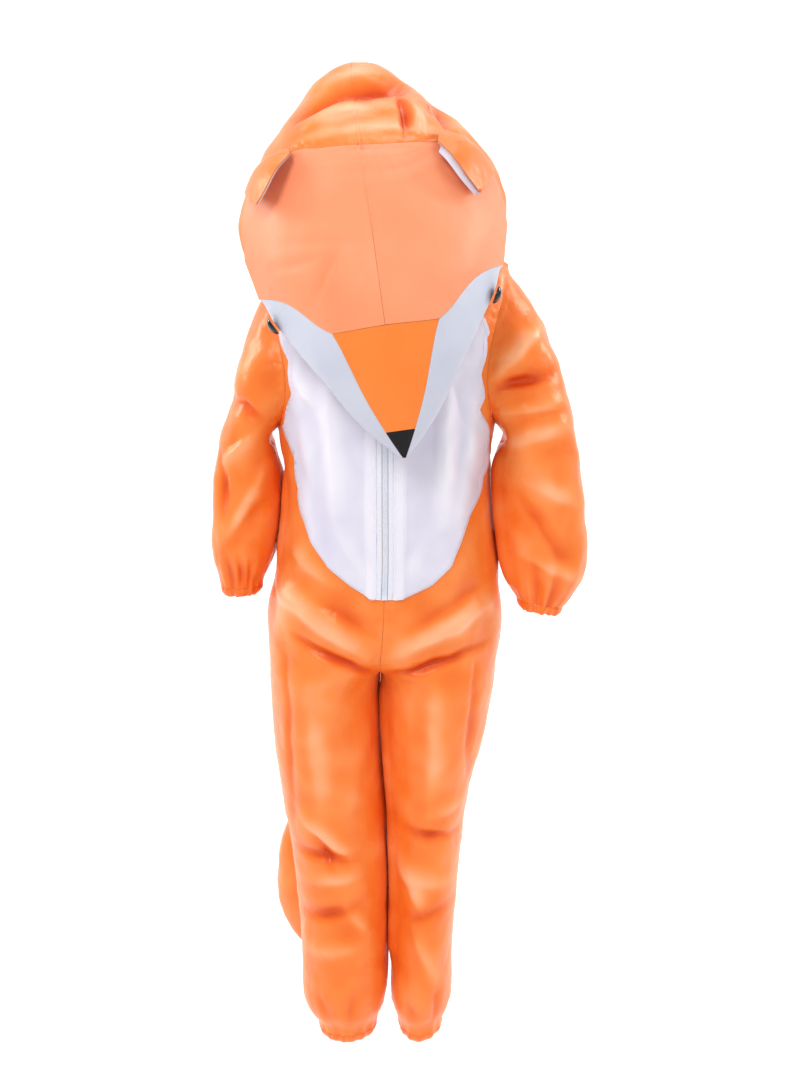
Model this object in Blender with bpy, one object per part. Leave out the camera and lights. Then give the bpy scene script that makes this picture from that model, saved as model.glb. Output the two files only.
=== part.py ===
# A child's fox costume, worn: a one-piece satin suit with a padded fox-head hood.
# Metres, +Z up. The wearer faces -Y, the wearer's right is -X. The origin lies midway
# between the wearer's shoulders, just under the shoulder seams. Every piece of cloth is
# a thin wall: its outer points come from the section tables below, its inner points
# lie one wall thickness further in, along normals that neighbouring pieces share.

import itertools
import math
from collections import namedtuple

import bmesh
import bpy
from mathutils import Matrix, Vector

# Cloth and seams
SATIN_WALL = 0.0012
FOAM_WALL = 0.0035
WELT_HEIGHT = 0.0008
SEAM_GAP = 0.0003
LAYER_GAP = 0.0004
FACE_SEAM = 0.0005

# The suit: columns from the centre front round to the side, and on to the centre back
FRONT_COLUMNS = 8
BACK_COLUMNS = 6
ARMHOLE_STEPS = 10
ARMHOLE_FRONT_ANGLE = math.radians(35)
ARMHOLE_BACK_ANGLE = math.radians(31)
ARMHOLE_BLEND = 4
CUFF_WAVES = 14
CUFF_WAVE_DEPTH = 0.0022
CUFF_WIDTH = 0.011

# The zip
COIL_HALF_WIDTH = 0.0026
COIL_DEPTH = 0.0034
COIL_PROUD = 0.0020
TAPE_INNER = 0.0030
TAPE_OUTER = 0.0088
WELT_OUTER = 0.0190
ZIP_TOP_ROW = 2

# The zip's slider and pull tab
SLIDER_WIDTH = 0.0086
SLIDER_LENGTH = 0.0130
SLIDER_THICKNESS = 0.0022
BRIDGE_WIDTH = 0.0024
BRIDGE_RISE = 0.0043
TAB_WIDTH = 0.0070
TAB_LENGTH = 0.0240
TAB_THICKNESS = 0.0014
TAB_WINDOW = 0.0085
TAB_CLEARANCE = 0.0005
SLIDER_ROW = 5

# The head is modelled upright in its own frame and then rolled to the wearer's left
HEAD_ROLL = math.radians(8)
HEAD_SHIFT = Vector((-0.005, 0.0, 0.020))
ROW_FULLNESS = 1.45

# Buttons for eyes
EYE_RADIUS = 0.0092
EYE_HEIGHT = 0.0056
EYE_SIDES = 14
EYE_CLEARANCE = 0.012    # cheek points this near hold the button up
EYE_ROW = 1.75
EYE_COLUMN = 2.2

# Tail
TAIL_SIDES = 12

SIDES = {"right": -1, "left": 1}

ORANGE = (0.95, 0.27, 0.05)
PEACH = (0.98, 0.37, 0.14)
DEEP_ORANGE = (0.92, 0.22, 0.03)
WHITE = (0.82, 0.83, 0.90)
BLACK = (0.01, 0.01, 0.012)

# Half widths are measured from the centre seam. A front or back drop lowers the section
# at the centre, tilt raises its left side, and split turns one oval into two legs.
Body = namedtuple("Body", "height seam right left front back front_drop back_drop tilt split gap steps")
BODY = [
    Body(0.036, 0.002, 0.060, 0.060, 0.066, 0.054, -0.077, -0.014, 0.100, 0.0, 0.0, 1),
    Body(0.028, 0.002, 0.090, 0.092, 0.078, 0.064, -0.075, -0.016, 0.097, 0.0, 0.0, 2),
    Body(0.0155, 0.001, 0.120, 0.122, 0.088, 0.074, -0.068, -0.016, 0.094, 0.0, 0.0, 4),
    Body(-0.050, 0.000, 0.121, 0.124, 0.099, 0.082, -0.028, -0.012, 0.060, 0.0, 0.0, 6),
    Body(-0.135, 0.000, 0.111, 0.112, 0.106, 0.086, -0.004, 0.0, 0.020, 0.0, 0.0, 2),
    Body(-0.185, 0.000, 0.103, 0.104, 0.111, 0.086, 0.0, 0.0, 0.0, 0.0, 0.0, 3),
    Body(-0.260, 0.000, 0.108, 0.109, 0.114, 0.092, 0.0, 0.0, 0.0, 0.0, 0.0, 2),
    Body(-0.2915, -0.001, 0.115, 0.116, 0.112, 0.097, 0.0, 0.0, 0.0, 0.0, 0.0, 1),
    Body(-0.322, -0.002, 0.123, 0.123, 0.108, 0.100, 0.0, 0.0, 0.0, 0.0, 0.0, 1),
    Body(-0.346, -0.004, 0.121, 0.126, 0.101, 0.101, 0.0, 0.0, 0.0, 0.24, 0.0, 1),
    Body(-0.368, -0.006, 0.118, 0.124, 0.095, 0.099, 0.0, 0.0, 0.0, 0.58, 0.0, 1),
    Body(-0.382, -0.006, 0.117, 0.122, 0.091, 0.097, 0.0, 0.0, 0.0, 0.85, 0.0, 1),
    Body(-0.391, -0.006, 0.117, 0.121, 0.089, 0.095, 0.0, 0.0, 0.0, 1.0, 0.0, 1),
    Body(-0.410, -0.006, 0.117, 0.120, 0.086, 0.092, 0.0, 0.0, 0.0, 1.0, 0.0010, 2),
    Body(-0.473, -0.005, 0.115, 0.107, 0.078, 0.083, 0.0, 0.0, 0.0, 1.0, 0.0016, 2),
    Body(-0.535, -0.001, 0.111, 0.087, 0.070, 0.074, 0.0, 0.0, 0.0, 1.0, 0.0016, 2),
    Body(-0.592, 0.003, 0.106, 0.077, 0.066, 0.068, 0.0, 0.0, 0.0, 1.0, 0.0016, 2),
    Body(-0.655, 0.004, 0.101, 0.071, 0.063, 0.066, 0.0, 0.0, 0.0, 1.0, 0.0016, 2),
    Body(-0.715, 0.004, 0.097, 0.067, 0.061, 0.064, 0.0, 0.0, 0.0, 1.0, 0.0016, 2),
    Body(-0.757, 0.002, 0.096, 0.070, 0.058, 0.060, 0.0, 0.0, 0.0, 1.0, 0.0016, 1),
    Body(-0.7775, 0.001, 0.091, 0.067, 0.051, 0.053, 0.0, 0.0, 0.0, 1.0, 0.0040, 1),
    Body(-0.791, 0.001, 0.078, 0.060, 0.038, 0.042, 0.0, 0.0, 0.0, 1.0, 0.0110, 1),
    Body(-0.7995, 0.001, 0.077, 0.059, 0.037, 0.041, 0.0, 0.0, 0.0, 1.0, 0.0120, 0),
]
SHOULDER_TIP = 2
UNDERARM = 4
ZIP_END = 7
ZIP_CLOSING = 0.05
CROTCH = 12

# A sleeve ring by its inner and outer edge, seen from the front, and its depth from y = 0
Sleeve = namedtuple("Sleeve", "inner_x inner_z outer_x outer_z front back")
SLEEVE_RIGHT = [
    Sleeve(0.1160, -0.1400, 0.1310, -0.0100, 0.058, 0.050),
    Sleeve(0.1160, -0.1450, 0.1400, -0.0340, 0.058, 0.050),
    Sleeve(0.1155, -0.1500, 0.1490, -0.0580, 0.056, 0.049),
    Sleeve(0.1140, -0.1560, 0.1525, -0.0830, 0.054, 0.048),
    Sleeve(0.1125, -0.1640, 0.1545, -0.1060, 0.051, 0.047),
    Sleeve(0.1090, -0.1730, 0.1650, -0.1290, 0.050, 0.046),
    Sleeve(0.1070, -0.1900, 0.1735, -0.1560, 0.049, 0.046),
    Sleeve(0.1065, -0.2100, 0.1775, -0.1880, 0.048, 0.045),
    Sleeve(0.1085, -0.2320, 0.1805, -0.2200, 0.047, 0.044),
    Sleeve(0.1130, -0.2540, 0.1820, -0.2500, 0.045, 0.042),
    Sleeve(0.1190, -0.2750, 0.1800, -0.2750, 0.041, 0.038),
    Sleeve(0.1280, -0.2920, 0.1750, -0.2930, 0.031, 0.029),
    Sleeve(0.1300, -0.3010, 0.1730, -0.3020, 0.028, 0.026),
]
SLEEVE_LEFT = [
    Sleeve(0.1175, -0.1380, 0.1330, 0.0160, 0.058, 0.050),
    Sleeve(0.1175, -0.1430, 0.1470, -0.0050, 0.059, 0.051),
    Sleeve(0.1175, -0.1480, 0.1610, -0.0300, 0.058, 0.051),
    Sleeve(0.1165, -0.1540, 0.1730, -0.0590, 0.056, 0.050),
    Sleeve(0.1150, -0.1620, 0.1820, -0.0900, 0.054, 0.049),
    Sleeve(0.1130, -0.1720, 0.1905, -0.1220, 0.053, 0.048),
    Sleeve(0.1120, -0.1900, 0.1975, -0.1550, 0.052, 0.047),
    Sleeve(0.1120, -0.2120, 0.2025, -0.1900, 0.051, 0.046),
    Sleeve(0.1130, -0.2380, 0.2070, -0.2260, 0.050, 0.045),
    Sleeve(0.1150, -0.2640, 0.2105, -0.2600, 0.048, 0.043),
    Sleeve(0.1190, -0.2880, 0.2100, -0.2900, 0.043, 0.039),
    Sleeve(0.1320, -0.3080, 0.1920, -0.3150, 0.032, 0.030),
    Sleeve(0.1370, -0.3160, 0.1840, -0.3240, 0.028, 0.026),
]

# The hood row by row from the neck seam to the top edge of the forehead pad: the point on
# the centre-back seam, the widest point at the side, and the point on the front edge
Hood = namedtuple("Hood", "back_y back_z side_x side_y side_z front_x front_y front_z")
HOOD = [
    Hood(0.064, 0.022, 0.076, -0.006, 0.043, 0.026, -0.074, -0.029),
    Hood(0.073, 0.043, 0.092, -0.008, 0.049, 0.053, -0.081, -0.028),
    Hood(0.080, 0.070, 0.106, -0.010, 0.056, 0.078, -0.084, -0.026),
    Hood(0.083, 0.097, 0.116, -0.010, 0.063, 0.100, -0.083, -0.024),
    Hood(0.083, 0.124, 0.119, -0.008, 0.074, 0.1175, -0.080, -0.0095),
    Hood(0.077, 0.151, 0.116, -0.006, 0.092, 0.1275, -0.060, 0.028),
    Hood(0.065, 0.178, 0.106, -0.002, 0.112, 0.1245, -0.056, 0.064),
    Hood(0.046, 0.198, 0.089, 0.000, 0.138, 0.108, -0.062, 0.095),
    Hood(0.020, 0.207, 0.068, -0.004, 0.160, 0.091, -0.069, 0.109),
    Hood(-0.010, 0.199, 0.053, -0.022, 0.168, 0.080, -0.0735, 0.1155),
    Hood(-0.038, 0.180, 0.043, -0.046, 0.160, 0.071, -0.0765, 0.1195),
    Hood(-0.065, 0.156, 0.036, -0.068, 0.145, 0.062, -0.079, 0.1225),
]
TEMPLE_ROW = 4
PAD_CORNER = Vector((0.052, -0.081, 0.1255))

# The forehead pad: centre seam and the crown of each row, from the brow up
Pad = namedtuple("Pad", "centre_y centre_z mid_x mid_y mid_z")
PAD = [
    Pad(-0.1880, -0.015, 0.080, -0.148, 0.006),
    Pad(-0.1790, 0.016, 0.080, -0.137, 0.034),
    Pad(-0.1650, 0.047, 0.070, -0.128, 0.063),
    Pad(-0.1470, 0.076, 0.058, -0.119, 0.086),
    Pad(-0.1290, 0.099, 0.048, -0.111, 0.103),
    Pad(-0.1150, 0.114, 0.040, -0.103, 0.1145),
    Pad(-0.1020, 0.1245, 0.033, -0.095, 0.1225),
    Pad(-0.0900, 0.131, 0.027, -0.087, 0.1295),
]

# Brow seam from the centre to the brow corner
Brow = namedtuple("Brow", "x y z")
BROW = [Brow(0.0, -0.190, -0.045), Brow(0.017, -0.189, -0.0455), Brow(0.033, -0.185, -0.0465)]

# A cheek from the temple to the tip of the nose: upper seam, outermost line, lower seam
Cheek = namedtuple("Cheek", "top_x top_y top_z out_x out_y out_z low_x low_y low_z steps")
CHEEK = [
    Cheek(0.1175, -0.080, -0.0095, 0.1088, -0.0815, -0.0168, 0.100, -0.083, -0.024, 1),
    Cheek(0.1010, -0.115, -0.0105, 0.1085, -0.094, -0.0275, 0.088, -0.096, -0.026, 1),
    Cheek(0.0855, -0.138, -0.0165, 0.1010, -0.108, -0.0410, 0.071, -0.109, -0.024, 1),
    Cheek(0.0725, -0.155, -0.0270, 0.0905, -0.121, -0.0560, 0.050, -0.120, -0.020, 1),
    Cheek(0.0600, -0.168, -0.0400, 0.0800, -0.132, -0.0710, 0.026, -0.128, -0.016, 1),
    Cheek(0.0480, -0.178, -0.0470, 0.0700, -0.140, -0.0850, 0.0, -0.132, -0.014, 2),
    Cheek(0.0390, -0.180, -0.0710, 0.0595, -0.145, -0.1000, 0.0, -0.134, -0.045, 2),
    Cheek(0.0290, -0.177, -0.1030, 0.0460, -0.149, -0.1210, 0.0, -0.138, -0.080, 2),
    Cheek(0.0210, -0.173, -0.1240, 0.0330, -0.151, -0.1380, 0.0, -0.143, -0.112, 1),
    Cheek(0.0135, -0.168, -0.1420, 0.0215, -0.153, -0.1510, 0.0, -0.148, -0.138, 1),
    Cheek(0.0072, -0.164, -0.1560, 0.0120, -0.155, -0.1600, 0.0, -0.152, -0.156, 1),
    Cheek(0.0014, -0.160, -0.1680, 0.0030, -0.158, -0.1675, 0.0, -0.156, -0.1655, 0),
]
BROW_CORNER = 5
NOSE_START = 9
CHEEK_COLUMNS = 6
MUZZLE_ARCH = 0.012
MUZZLE_RISE = 0.15
FOAM_SHARE = 0.055
FOAM_TIP = 0.0007

# The ears lie folded forwards over the pad: root seam, fold, and free edge, inner end first
Ear = namedtuple("Ear", "root_x root_y root_z fold_x fold_y fold_z free_x free_y free_z")
EAR_RIGHT = [
    Ear(0.0665, -0.0803, 0.1232, 0.0670, -0.0900, 0.1260, 0.0668, -0.1010, 0.1170),
    Ear(0.0830, -0.0753, 0.1172, 0.0890, -0.0840, 0.1290, 0.0800, -0.1200, 0.1050),
    Ear(0.1000, -0.0673, 0.1052, 0.1130, -0.0760, 0.1200, 0.0910, -0.1270, 0.0890),
    Ear(0.1140, -0.0606, 0.0893, 0.1230, -0.0690, 0.0960, 0.1030, -0.1180, 0.0760),
]
EAR_LEFT = [
    Ear(0.0740, -0.0790, 0.1220, 0.0750, -0.0880, 0.1240, 0.0700, -0.1030, 0.1100),
    Ear(0.0900, -0.0730, 0.1140, 0.0970, -0.0820, 0.1200, 0.0820, -0.1220, 0.0930),
    Ear(0.1060, -0.0650, 0.1010, 0.1190, -0.0760, 0.1040, 0.0920, -0.1260, 0.0740),
    Ear(0.1190, -0.0600, 0.0820, 0.1260, -0.0720, 0.0800, 0.1020, -0.1180, 0.0580),
]

# The white tummy: half widths to the wearer's right and left at each height
Tummy = namedtuple("Tummy", "height right left")
TUMMY = [
    Tummy(0.010, 0.094, 0.086), Tummy(-0.022, 0.098, 0.091), Tummy(-0.038, 0.101, 0.099),
    Tummy(-0.052, 0.104, 0.097), Tummy(-0.066, 0.101, 0.099), Tummy(-0.079, 0.092, 0.098),
    Tummy(-0.092, 0.098, 0.096), Tummy(-0.112, 0.105, 0.091), Tummy(-0.131, 0.101, 0.098),
    Tummy(-0.147, 0.092, 0.102), Tummy(-0.172, 0.086, 0.100), Tummy(-0.196, 0.085, 0.092),
    Tummy(-0.215, 0.082, 0.083), Tummy(-0.240, 0.073, 0.074), Tummy(-0.263, 0.055, 0.064),
    Tummy(-0.279, 0.033, 0.045), Tummy(-0.288, 0.018, 0.024), Tummy(-0.2915, 0.014, 0.016),
]
TUMMY_TOP_ROW = 3
TUMMY_COLUMNS = 8

# A ridge (height above 0) or trough (below 0) in the cloth, as it is seen from its face
Fold = namedtuple("Fold", "x1 z1 x2 z2 width height")
FRONT_FOLDS = [
    Fold(-0.118, -0.290, -0.028, -0.345, 0.013, 0.0055), Fold(-0.093, -0.255, -0.054, -0.276, 0.009, 0.003),
    Fold(0.022, -0.346, 0.096, -0.313, 0.014, 0.0055), Fold(-0.084, -0.345, -0.010, -0.378, 0.008, -0.006),
    Fold(0.006, -0.378, 0.095, -0.352, 0.008, -0.006), Fold(-0.060, -0.300, -0.020, -0.322, 0.010, -0.003),
    Fold(0.030, -0.322, 0.090, -0.292, 0.010, -0.003), Fold(-0.100, -0.368, -0.098, -0.540, 0.009, -0.0035),
    Fold(-0.070, -0.400, -0.064, -0.520, 0.014, 0.003), Fold(0.088, -0.380, 0.082, -0.500, 0.009, -0.0035),
    Fold(0.050, -0.400, 0.046, -0.520, 0.014, 0.003), Fold(-0.080, -0.542, -0.040, -0.572, 0.010, 0.004),
    Fold(-0.090, -0.584, -0.036, -0.586, 0.008, -0.004), Fold(-0.086, -0.612, -0.030, -0.604, 0.011, 0.003),
    Fold(-0.090, -0.653, -0.040, -0.644, 0.009, -0.004), Fold(-0.084, -0.690, -0.034, -0.680, 0.012, 0.003),
    Fold(0.020, -0.556, 0.074, -0.560, 0.008, -0.004), Fold(0.052, -0.532, 0.078, -0.526, 0.009, 0.003),
    Fold(0.016, -0.600, 0.070, -0.610, 0.011, 0.003), Fold(0.020, -0.655, 0.064, -0.640, 0.009, -0.0035),
    Fold(-0.070, -0.745, -0.064, -0.790, 0.007, -0.003), Fold(-0.036, -0.740, -0.038, -0.790, 0.007, -0.003),
    Fold(0.024, -0.745, 0.026, -0.790, 0.007, -0.003), Fold(0.052, -0.740, 0.050, -0.790, 0.007, -0.003),
    Fold(-0.060, -0.060, -0.052, -0.200, 0.012, 0.003), Fold(0.062, -0.070, 0.050, -0.210, 0.012, 0.003),
]
BACK_FOLDS = [
    Fold(-0.085, -0.060, -0.030, -0.150, 0.014, 0.004), Fold(0.085, -0.055, 0.030, -0.150, 0.014, 0.004),
    Fold(-0.090, -0.200, -0.010, -0.240, 0.012, -0.004), Fold(0.090, -0.205, 0.010, -0.240, 0.012, -0.004),
    Fold(-0.100, -0.330, -0.015, -0.385, 0.010, -0.005), Fold(0.100, -0.330, 0.015, -0.385, 0.010, -0.005),
    Fold(-0.095, -0.420, -0.030, -0.400, 0.012, 0.004), Fold(0.090, -0.425, 0.025, -0.402, 0.012, 0.004),
    Fold(-0.090, -0.575, -0.020, -0.590, 0.009, -0.005), Fold(0.072, -0.572, 0.018, -0.592, 0.009, -0.005),
    Fold(-0.092, -0.620, -0.025, -0.606, 0.011, 0.004), Fold(0.066, -0.622, 0.020, -0.608, 0.011, 0.004),
    Fold(-0.084, -0.690, -0.030, -0.676, 0.010, -0.003), Fold(0.058, -0.700, 0.016, -0.684, 0.010, -0.003),
    Fold(-0.060, -0.745, -0.058, -0.790, 0.007, -0.003), Fold(0.036, -0.745, 0.038, -0.790, 0.007, -0.003),
]
SLEEVE_FRONT_FOLDS = [
    Fold(-0.164, -0.160, -0.165, -0.215, 0.007, -0.004), Fold(-0.125, -0.120, -0.160, -0.100, 0.008, -0.004),
    Fold(-0.120, -0.175, -0.155, -0.240, 0.009, 0.003), Fold(0.112, -0.092, 0.158, -0.082, 0.008, -0.006),
    Fold(0.118, -0.070, 0.160, -0.030, 0.011, 0.004), Fold(0.125, -0.150, 0.190, -0.130, 0.010, 0.003),
    Fold(0.135, -0.200, 0.180, -0.270, 0.010, -0.003),
]
SLEEVE_BACK_FOLDS = [
    Fold(-0.120, -0.130, -0.165, -0.165, 0.009, -0.004), Fold(-0.120, -0.200, -0.170, -0.215, 0.010, 0.003),
    Fold(0.120, -0.120, 0.180, -0.150, 0.009, -0.004), Fold(0.125, -0.195, 0.195, -0.205, 0.010, 0.003),
]
HOOD_FRONT_FOLDS = [
    Fold(-0.058, 0.176, 0.016, 0.197, 0.008, -0.005), Fold(0.012, 0.150, 0.050, 0.186, 0.010, 0.004),
    Fold(-0.072, 0.150, -0.020, 0.160, 0.009, 0.003),
]
HOOD_BACK_FOLDS = [
    Fold(-0.080, 0.080, -0.020, 0.130, 0.014, 0.004), Fold(0.085, 0.085, 0.020, 0.125, 0.014, 0.004),
    Fold(-0.070, 0.025, -0.010, 0.050, 0.010, -0.004), Fold(0.075, 0.035, 0.015, 0.052, 0.010, -0.004),
]

# The stuffed tail from its root on the back seam to its tip
Tail = namedtuple("Tail", "x y z radius")
TAIL = [
    Tail(-0.002, 0.1008, -0.305, 0.017), Tail(-0.004, 0.120, -0.320, 0.020),
    Tail(-0.012, 0.134, -0.360, 0.024), Tail(-0.026, 0.138, -0.425, 0.028),
    Tail(-0.045, 0.132, -0.500, 0.031), Tail(-0.068, 0.121, -0.575, 0.033),
    Tail(-0.092, 0.111, -0.640, 0.036), Tail(-0.099, 0.107, -0.690, 0.035),
    Tail(-0.092, 0.103, -0.730, 0.027), Tail(-0.080, 0.100, -0.758, 0.016),
    Tail(-0.074, 0.099, -0.771, 0.005),
]


def spline(values, at):
    # Catmull-Rom value at a fractional place in a list
    low = min(int(at), len(values) - 2)
    part = at - low
    before = values[max(low - 1, 0)]
    start = values[low]
    end = values[low + 1]
    after = values[min(low + 2, len(values) - 1)]
    linear = (end - before) * part
    square = (2 * before - 5 * start + 4 * end - after) * part ** 2
    cube = (3 * start - before - 3 * end + after) * part ** 3
    return start + 0.5 * (linear + square + cube)


def row_at(table, at):
    return type(table[0])(*(spline(column, at) for column in zip(*table)))


def mesh_places(table):
    # Fractional table places of the mesh rows, from the table's steps column
    places = []
    for index, row in enumerate(table[:-1]):
        places += [index + step / row.steps for step in range(row.steps)]
    return places + [len(table) - 1]


def body_places():
    # The body's rows have one more just below the zip, where its opening closes to a seam
    return sorted(mesh_places(BODY) + [ZIP_END + ZIP_CLOSING])


def bulged(start, middle, end, count):
    # Points on a round curve that leaves the centre plane squarely at its start
    leave = Vector((middle.x, 0, 0)) * ROW_FULLNESS
    through = (end - start) * 0.5 * ROW_FULLNESS
    arrive = (end - middle) * 1.2
    points = []
    for step in range(count + 1):
        along = 2 * step / count
        if along <= 1:
            points.append(hermite(start, leave, middle, through, along))
        else:
            points.append(hermite(middle, through, end, arrive, along - 1))
    return points


def hermite(start, leave, end, arrive, t):
    return (start * (2 * t ** 3 - 3 * t ** 2 + 1) + leave * (t ** 3 - 2 * t ** 2 + t)
            + end * (3 * t ** 2 - 2 * t ** 3) + arrive * (t ** 3 - t ** 2))


def body_point(section, side, angle):
    # One point of the suit: angle -180 to 0 degrees over the front, 0 to 180 over the back
    half = section.left if side > 0 else section.right
    centre = (section.split * half + section.gap) / 2
    radius = half - centre
    depth = section.front if angle < 0 else section.back
    drop = section.front_drop if angle < 0 else section.back_drop
    x = section.seam + side * (centre + radius * math.cos(angle))
    z = section.height + section.tilt * x + drop * abs(math.sin(angle)) ** 1.6
    return Vector((x, depth * math.sin(angle), z))


def inner_angle(section, side):
    # Angle at which the section reaches the centre seam, or the inseam on a leg
    if section.split >= 1:
        return math.pi
    half = section.left if side > 0 else section.right
    centre = section.split * half / 2
    return math.acos(-centre / (half - centre))


def body_grids(side):
    # Outer points of the front and back panel, each row from its inner edge to the side
    front = []
    back = []
    for at in body_places():
        section = row_at(BODY, at)
        section = section._replace(split=1.0 if at > CROTCH else max(section.split, 0.0))
        hole = 0.0
        if SHOULDER_TIP < at < UNDERARM:
            fraction = armhole_fraction(at)
            hole = math.sqrt(1 - (2 * fraction - 1) ** 2)
        inner = inner_angle(section, side)
        front_edge = -ARMHOLE_FRONT_ANGLE * hole
        back_edge = ARMHOLE_BACK_ANGLE * hole
        front_row = []
        for column in range(FRONT_COLUMNS + 1):
            angle = -inner + (front_edge + inner) * column / FRONT_COLUMNS
            front_row.append(body_point(section, side, angle))
        back_row = []
        for column in range(BACK_COLUMNS + 1):
            angle = inner + (back_edge - inner) * column / BACK_COLUMNS
            back_row.append(body_point(section, side, angle))
        if hole == 0.0:
            back_row[-1] = front_row[-1].copy()
        if at >= CROTCH:
            back_row[0] = front_row[0].copy()
        front.append(front_row)
        back.append(back_row)
    return front, back


def armhole_fraction(at):
    # Share of the armhole's steps that lie above a table place
    places = [place for place in body_places() if SHOULDER_TIP <= place <= UNDERARM]
    return places.index(at) / ARMHOLE_STEPS


def sleeve_grid(side, front, back):
    # Rings from the armhole to the cuff, each starting and ending at the underarm
    places = body_places()
    top = places.index(SHOULDER_TIP)
    bottom = places.index(UNDERARM)
    ring = [front[row][-1].copy() for row in range(bottom, top - 1, -1)]
    ring += [back[row][-1].copy() for row in range(top + 1, bottom + 1)]
    ring[-1] = ring[0].copy()
    rings = [ring]
    count = 2 * ARMHOLE_STEPS
    middle = (ring[0] + ring[ARMHOLE_STEPS]) / 2
    for index, section in enumerate(SLEEVE_LEFT if side > 0 else SLEEVE_RIGHT):
        inner = Vector((side * section.inner_x, 0, section.inner_z))
        outer = Vector((side * section.outer_x, 0, section.outer_z))
        centre = (inner + outer) / 2
        ring = []
        for step in range(count + 1):
            turn = 2 * math.pi * (step % count) / count
            depth = section.front if step <= ARMHOLE_STEPS else section.back
            ring.append(centre + (inner - centre) * math.cos(turn) - Vector((0, depth * math.sin(turn), 0)))
        likeness = max(1 - (index + 1) / ARMHOLE_BLEND, 0.0)
        ring = [point.lerp(start + centre - middle, likeness) for point, start in zip(ring, rings[0])]
        rings.append(ring)
    return rings


def head(point, side):
    # A point of the symmetric head frame, taken to its place on the wearer
    turn = Matrix.Rotation(-HEAD_ROLL, 3, "Y")
    return turn @ Vector((side * point.x, point.y, point.z)) + HEAD_SHIFT


def hood_rows(side, neck):
    # Rows from the neck seam up and over to the top edge of the pad, centre back first
    count = FRONT_COLUMNS + BACK_COLUMNS
    rows = [neck]
    for section in HOOD:
        back = Vector((0, section.back_y, section.back_z))
        widest = Vector((section.side_x, section.side_y, section.side_z))
        edge = Vector((section.front_x, section.front_y, section.front_z))
        rows.append([head(point, side) for point in bulged(back, widest, edge, count)])
    last = pad_row(len(PAD) - 1)
    doubled = []
    for index in range(count + 1):
        at = index * (len(last) - 1) / count
        low = min(int(at), len(last) - 2)
        doubled.append(head(last[low].lerp(last[low + 1], at - low), side))
    return rows + [doubled]


def pad_row(index):
    # One row of the forehead pad in the head frame, from its centre seam to its edge
    columns = BROW_CORNER + len(BROW)
    section = PAD[index]
    centre = Vector((0, section.centre_y, section.centre_z))
    crown = Vector((section.mid_x, section.mid_y, section.mid_z))
    if index == len(PAD) - 1:
        edge = PAD_CORNER
    else:
        hood = HOOD[TEMPLE_ROW + 1 + index]
        edge = Vector((hood.front_x, hood.front_y, hood.front_z))
    return bulged(centre, crown, edge, columns)


def cheek_point(row, part):
    return Vector((getattr(row, part + "_x"), getattr(row, part + "_y"), getattr(row, part + "_z")))


def cheek_rows():
    rows = []
    for at in mesh_places(CHEEK):
        section = row_at(CHEEK, at)
        top = cheek_point(section, "top")
        out = cheek_point(section, "out")
        low = cheek_point(section, "low")
        if at >= BROW_CORNER:
            low.x = 0.0
        points = []
        for column in range(CHEEK_COLUMNS + 1):
            along = 2 * column / CHEEK_COLUMNS
            through = (low - top) * 0.55
            if along <= 1:
                points.append(hermite(top, (out - top) * 1.1, out, through, along))
            else:
                points.append(hermite(out, through, low, (low - out) * 1.1, along - 1))
        if at == 0:
            points = [top.lerp(low, column / CHEEK_COLUMNS) for column in range(CHEEK_COLUMNS + 1)]
        rows.append(points)
    return rows


def face_grids(side):
    # Forehead, cheek and half of the muzzle's top, which share their seam points
    cheek = cheek_rows()
    brow = [Vector(point) for point in BROW]
    bottom = brow + [cheek[row][0] for row in range(BROW_CORNER, -1, -1)]
    forehead = [bottom] + [pad_row(index) for index in range(len(PAD))]
    seam = [row[0] for row in cheek]
    start = BROW_CORNER
    nose = mesh_places(CHEEK).index(NOSE_START)
    muzzle = []
    for index in range(start, len(seam)):
        edge = seam[index]
        arch = MUZZLE_ARCH * edge.x / seam[start].x
        row = []
        for column in range(len(BROW) + 1):
            share = column / len(BROW)
            bulge = arch * (1 - share ** 2)
            row.append(Vector((edge.x * share, edge.y - bulge, edge.z + MUZZLE_RISE * bulge)))
        muzzle.append(row)
    muzzle[0] = brow + [seam[start]]
    grids = {"forehead": forehead, "cheek": cheek, "muzzle": muzzle[:nose - start + 1],
             "nose": muzzle[nose - start:]}
    return {name: [[head(point, side) for point in row] for row in rows] for name, rows in grids.items()}


def corner_key(point):
    return tuple(round(value * 1e5) for value in point)


def shared_normals(grids):
    # Outward normals at every point, averaged over all the pieces that meet there
    sums = {}
    for rows, flip in grids:
        for upper, lower in zip(rows, rows[1:]):
            for a, b, c, d in zip(upper, upper[1:], lower[1:], lower):
                normal = (c - a).cross(d - b) * (-1 if flip else 1)
                for point in (a, b, c, d):
                    key = corner_key(point)
                    sums[key] = sums.get(key, Vector((0, 0, 0))) + normal
    return {key: total.normalized() for key, total in sums.items()}


def crease(point, normal, front_folds, back_folds):
    # How far the folds on the side that a point faces push it out
    folds = front_folds if normal.y < 0 else back_folds
    facing = abs(normal.y) ** 0.7
    move = 0.0
    for fold in folds:
        along = Vector((fold.x2 - fold.x1, fold.z2 - fold.z1))
        offset = Vector((point.x - fold.x1, point.z - fold.z1))
        share = offset.dot(along) / along.length_squared
        inside = min(max(share, 0.0), 1.0)
        distance = (offset - along * inside).length
        taper = 0.35 + 0.65 * math.sin(math.pi * min(max(inside, 0.0), 1.0))
        move += fold.height * taper * math.exp(-(distance / fold.width) ** 2)
    return move * facing


def folded(rows, normals, front_folds, back_folds):
    moved = []
    for row in rows:
        new_row = []
        for point in row:
            normal = normals[corner_key(point)]
            new_row.append(point + normal * crease(point, normal, front_folds, back_folds))
        moved.append(new_row)
    return moved


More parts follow.
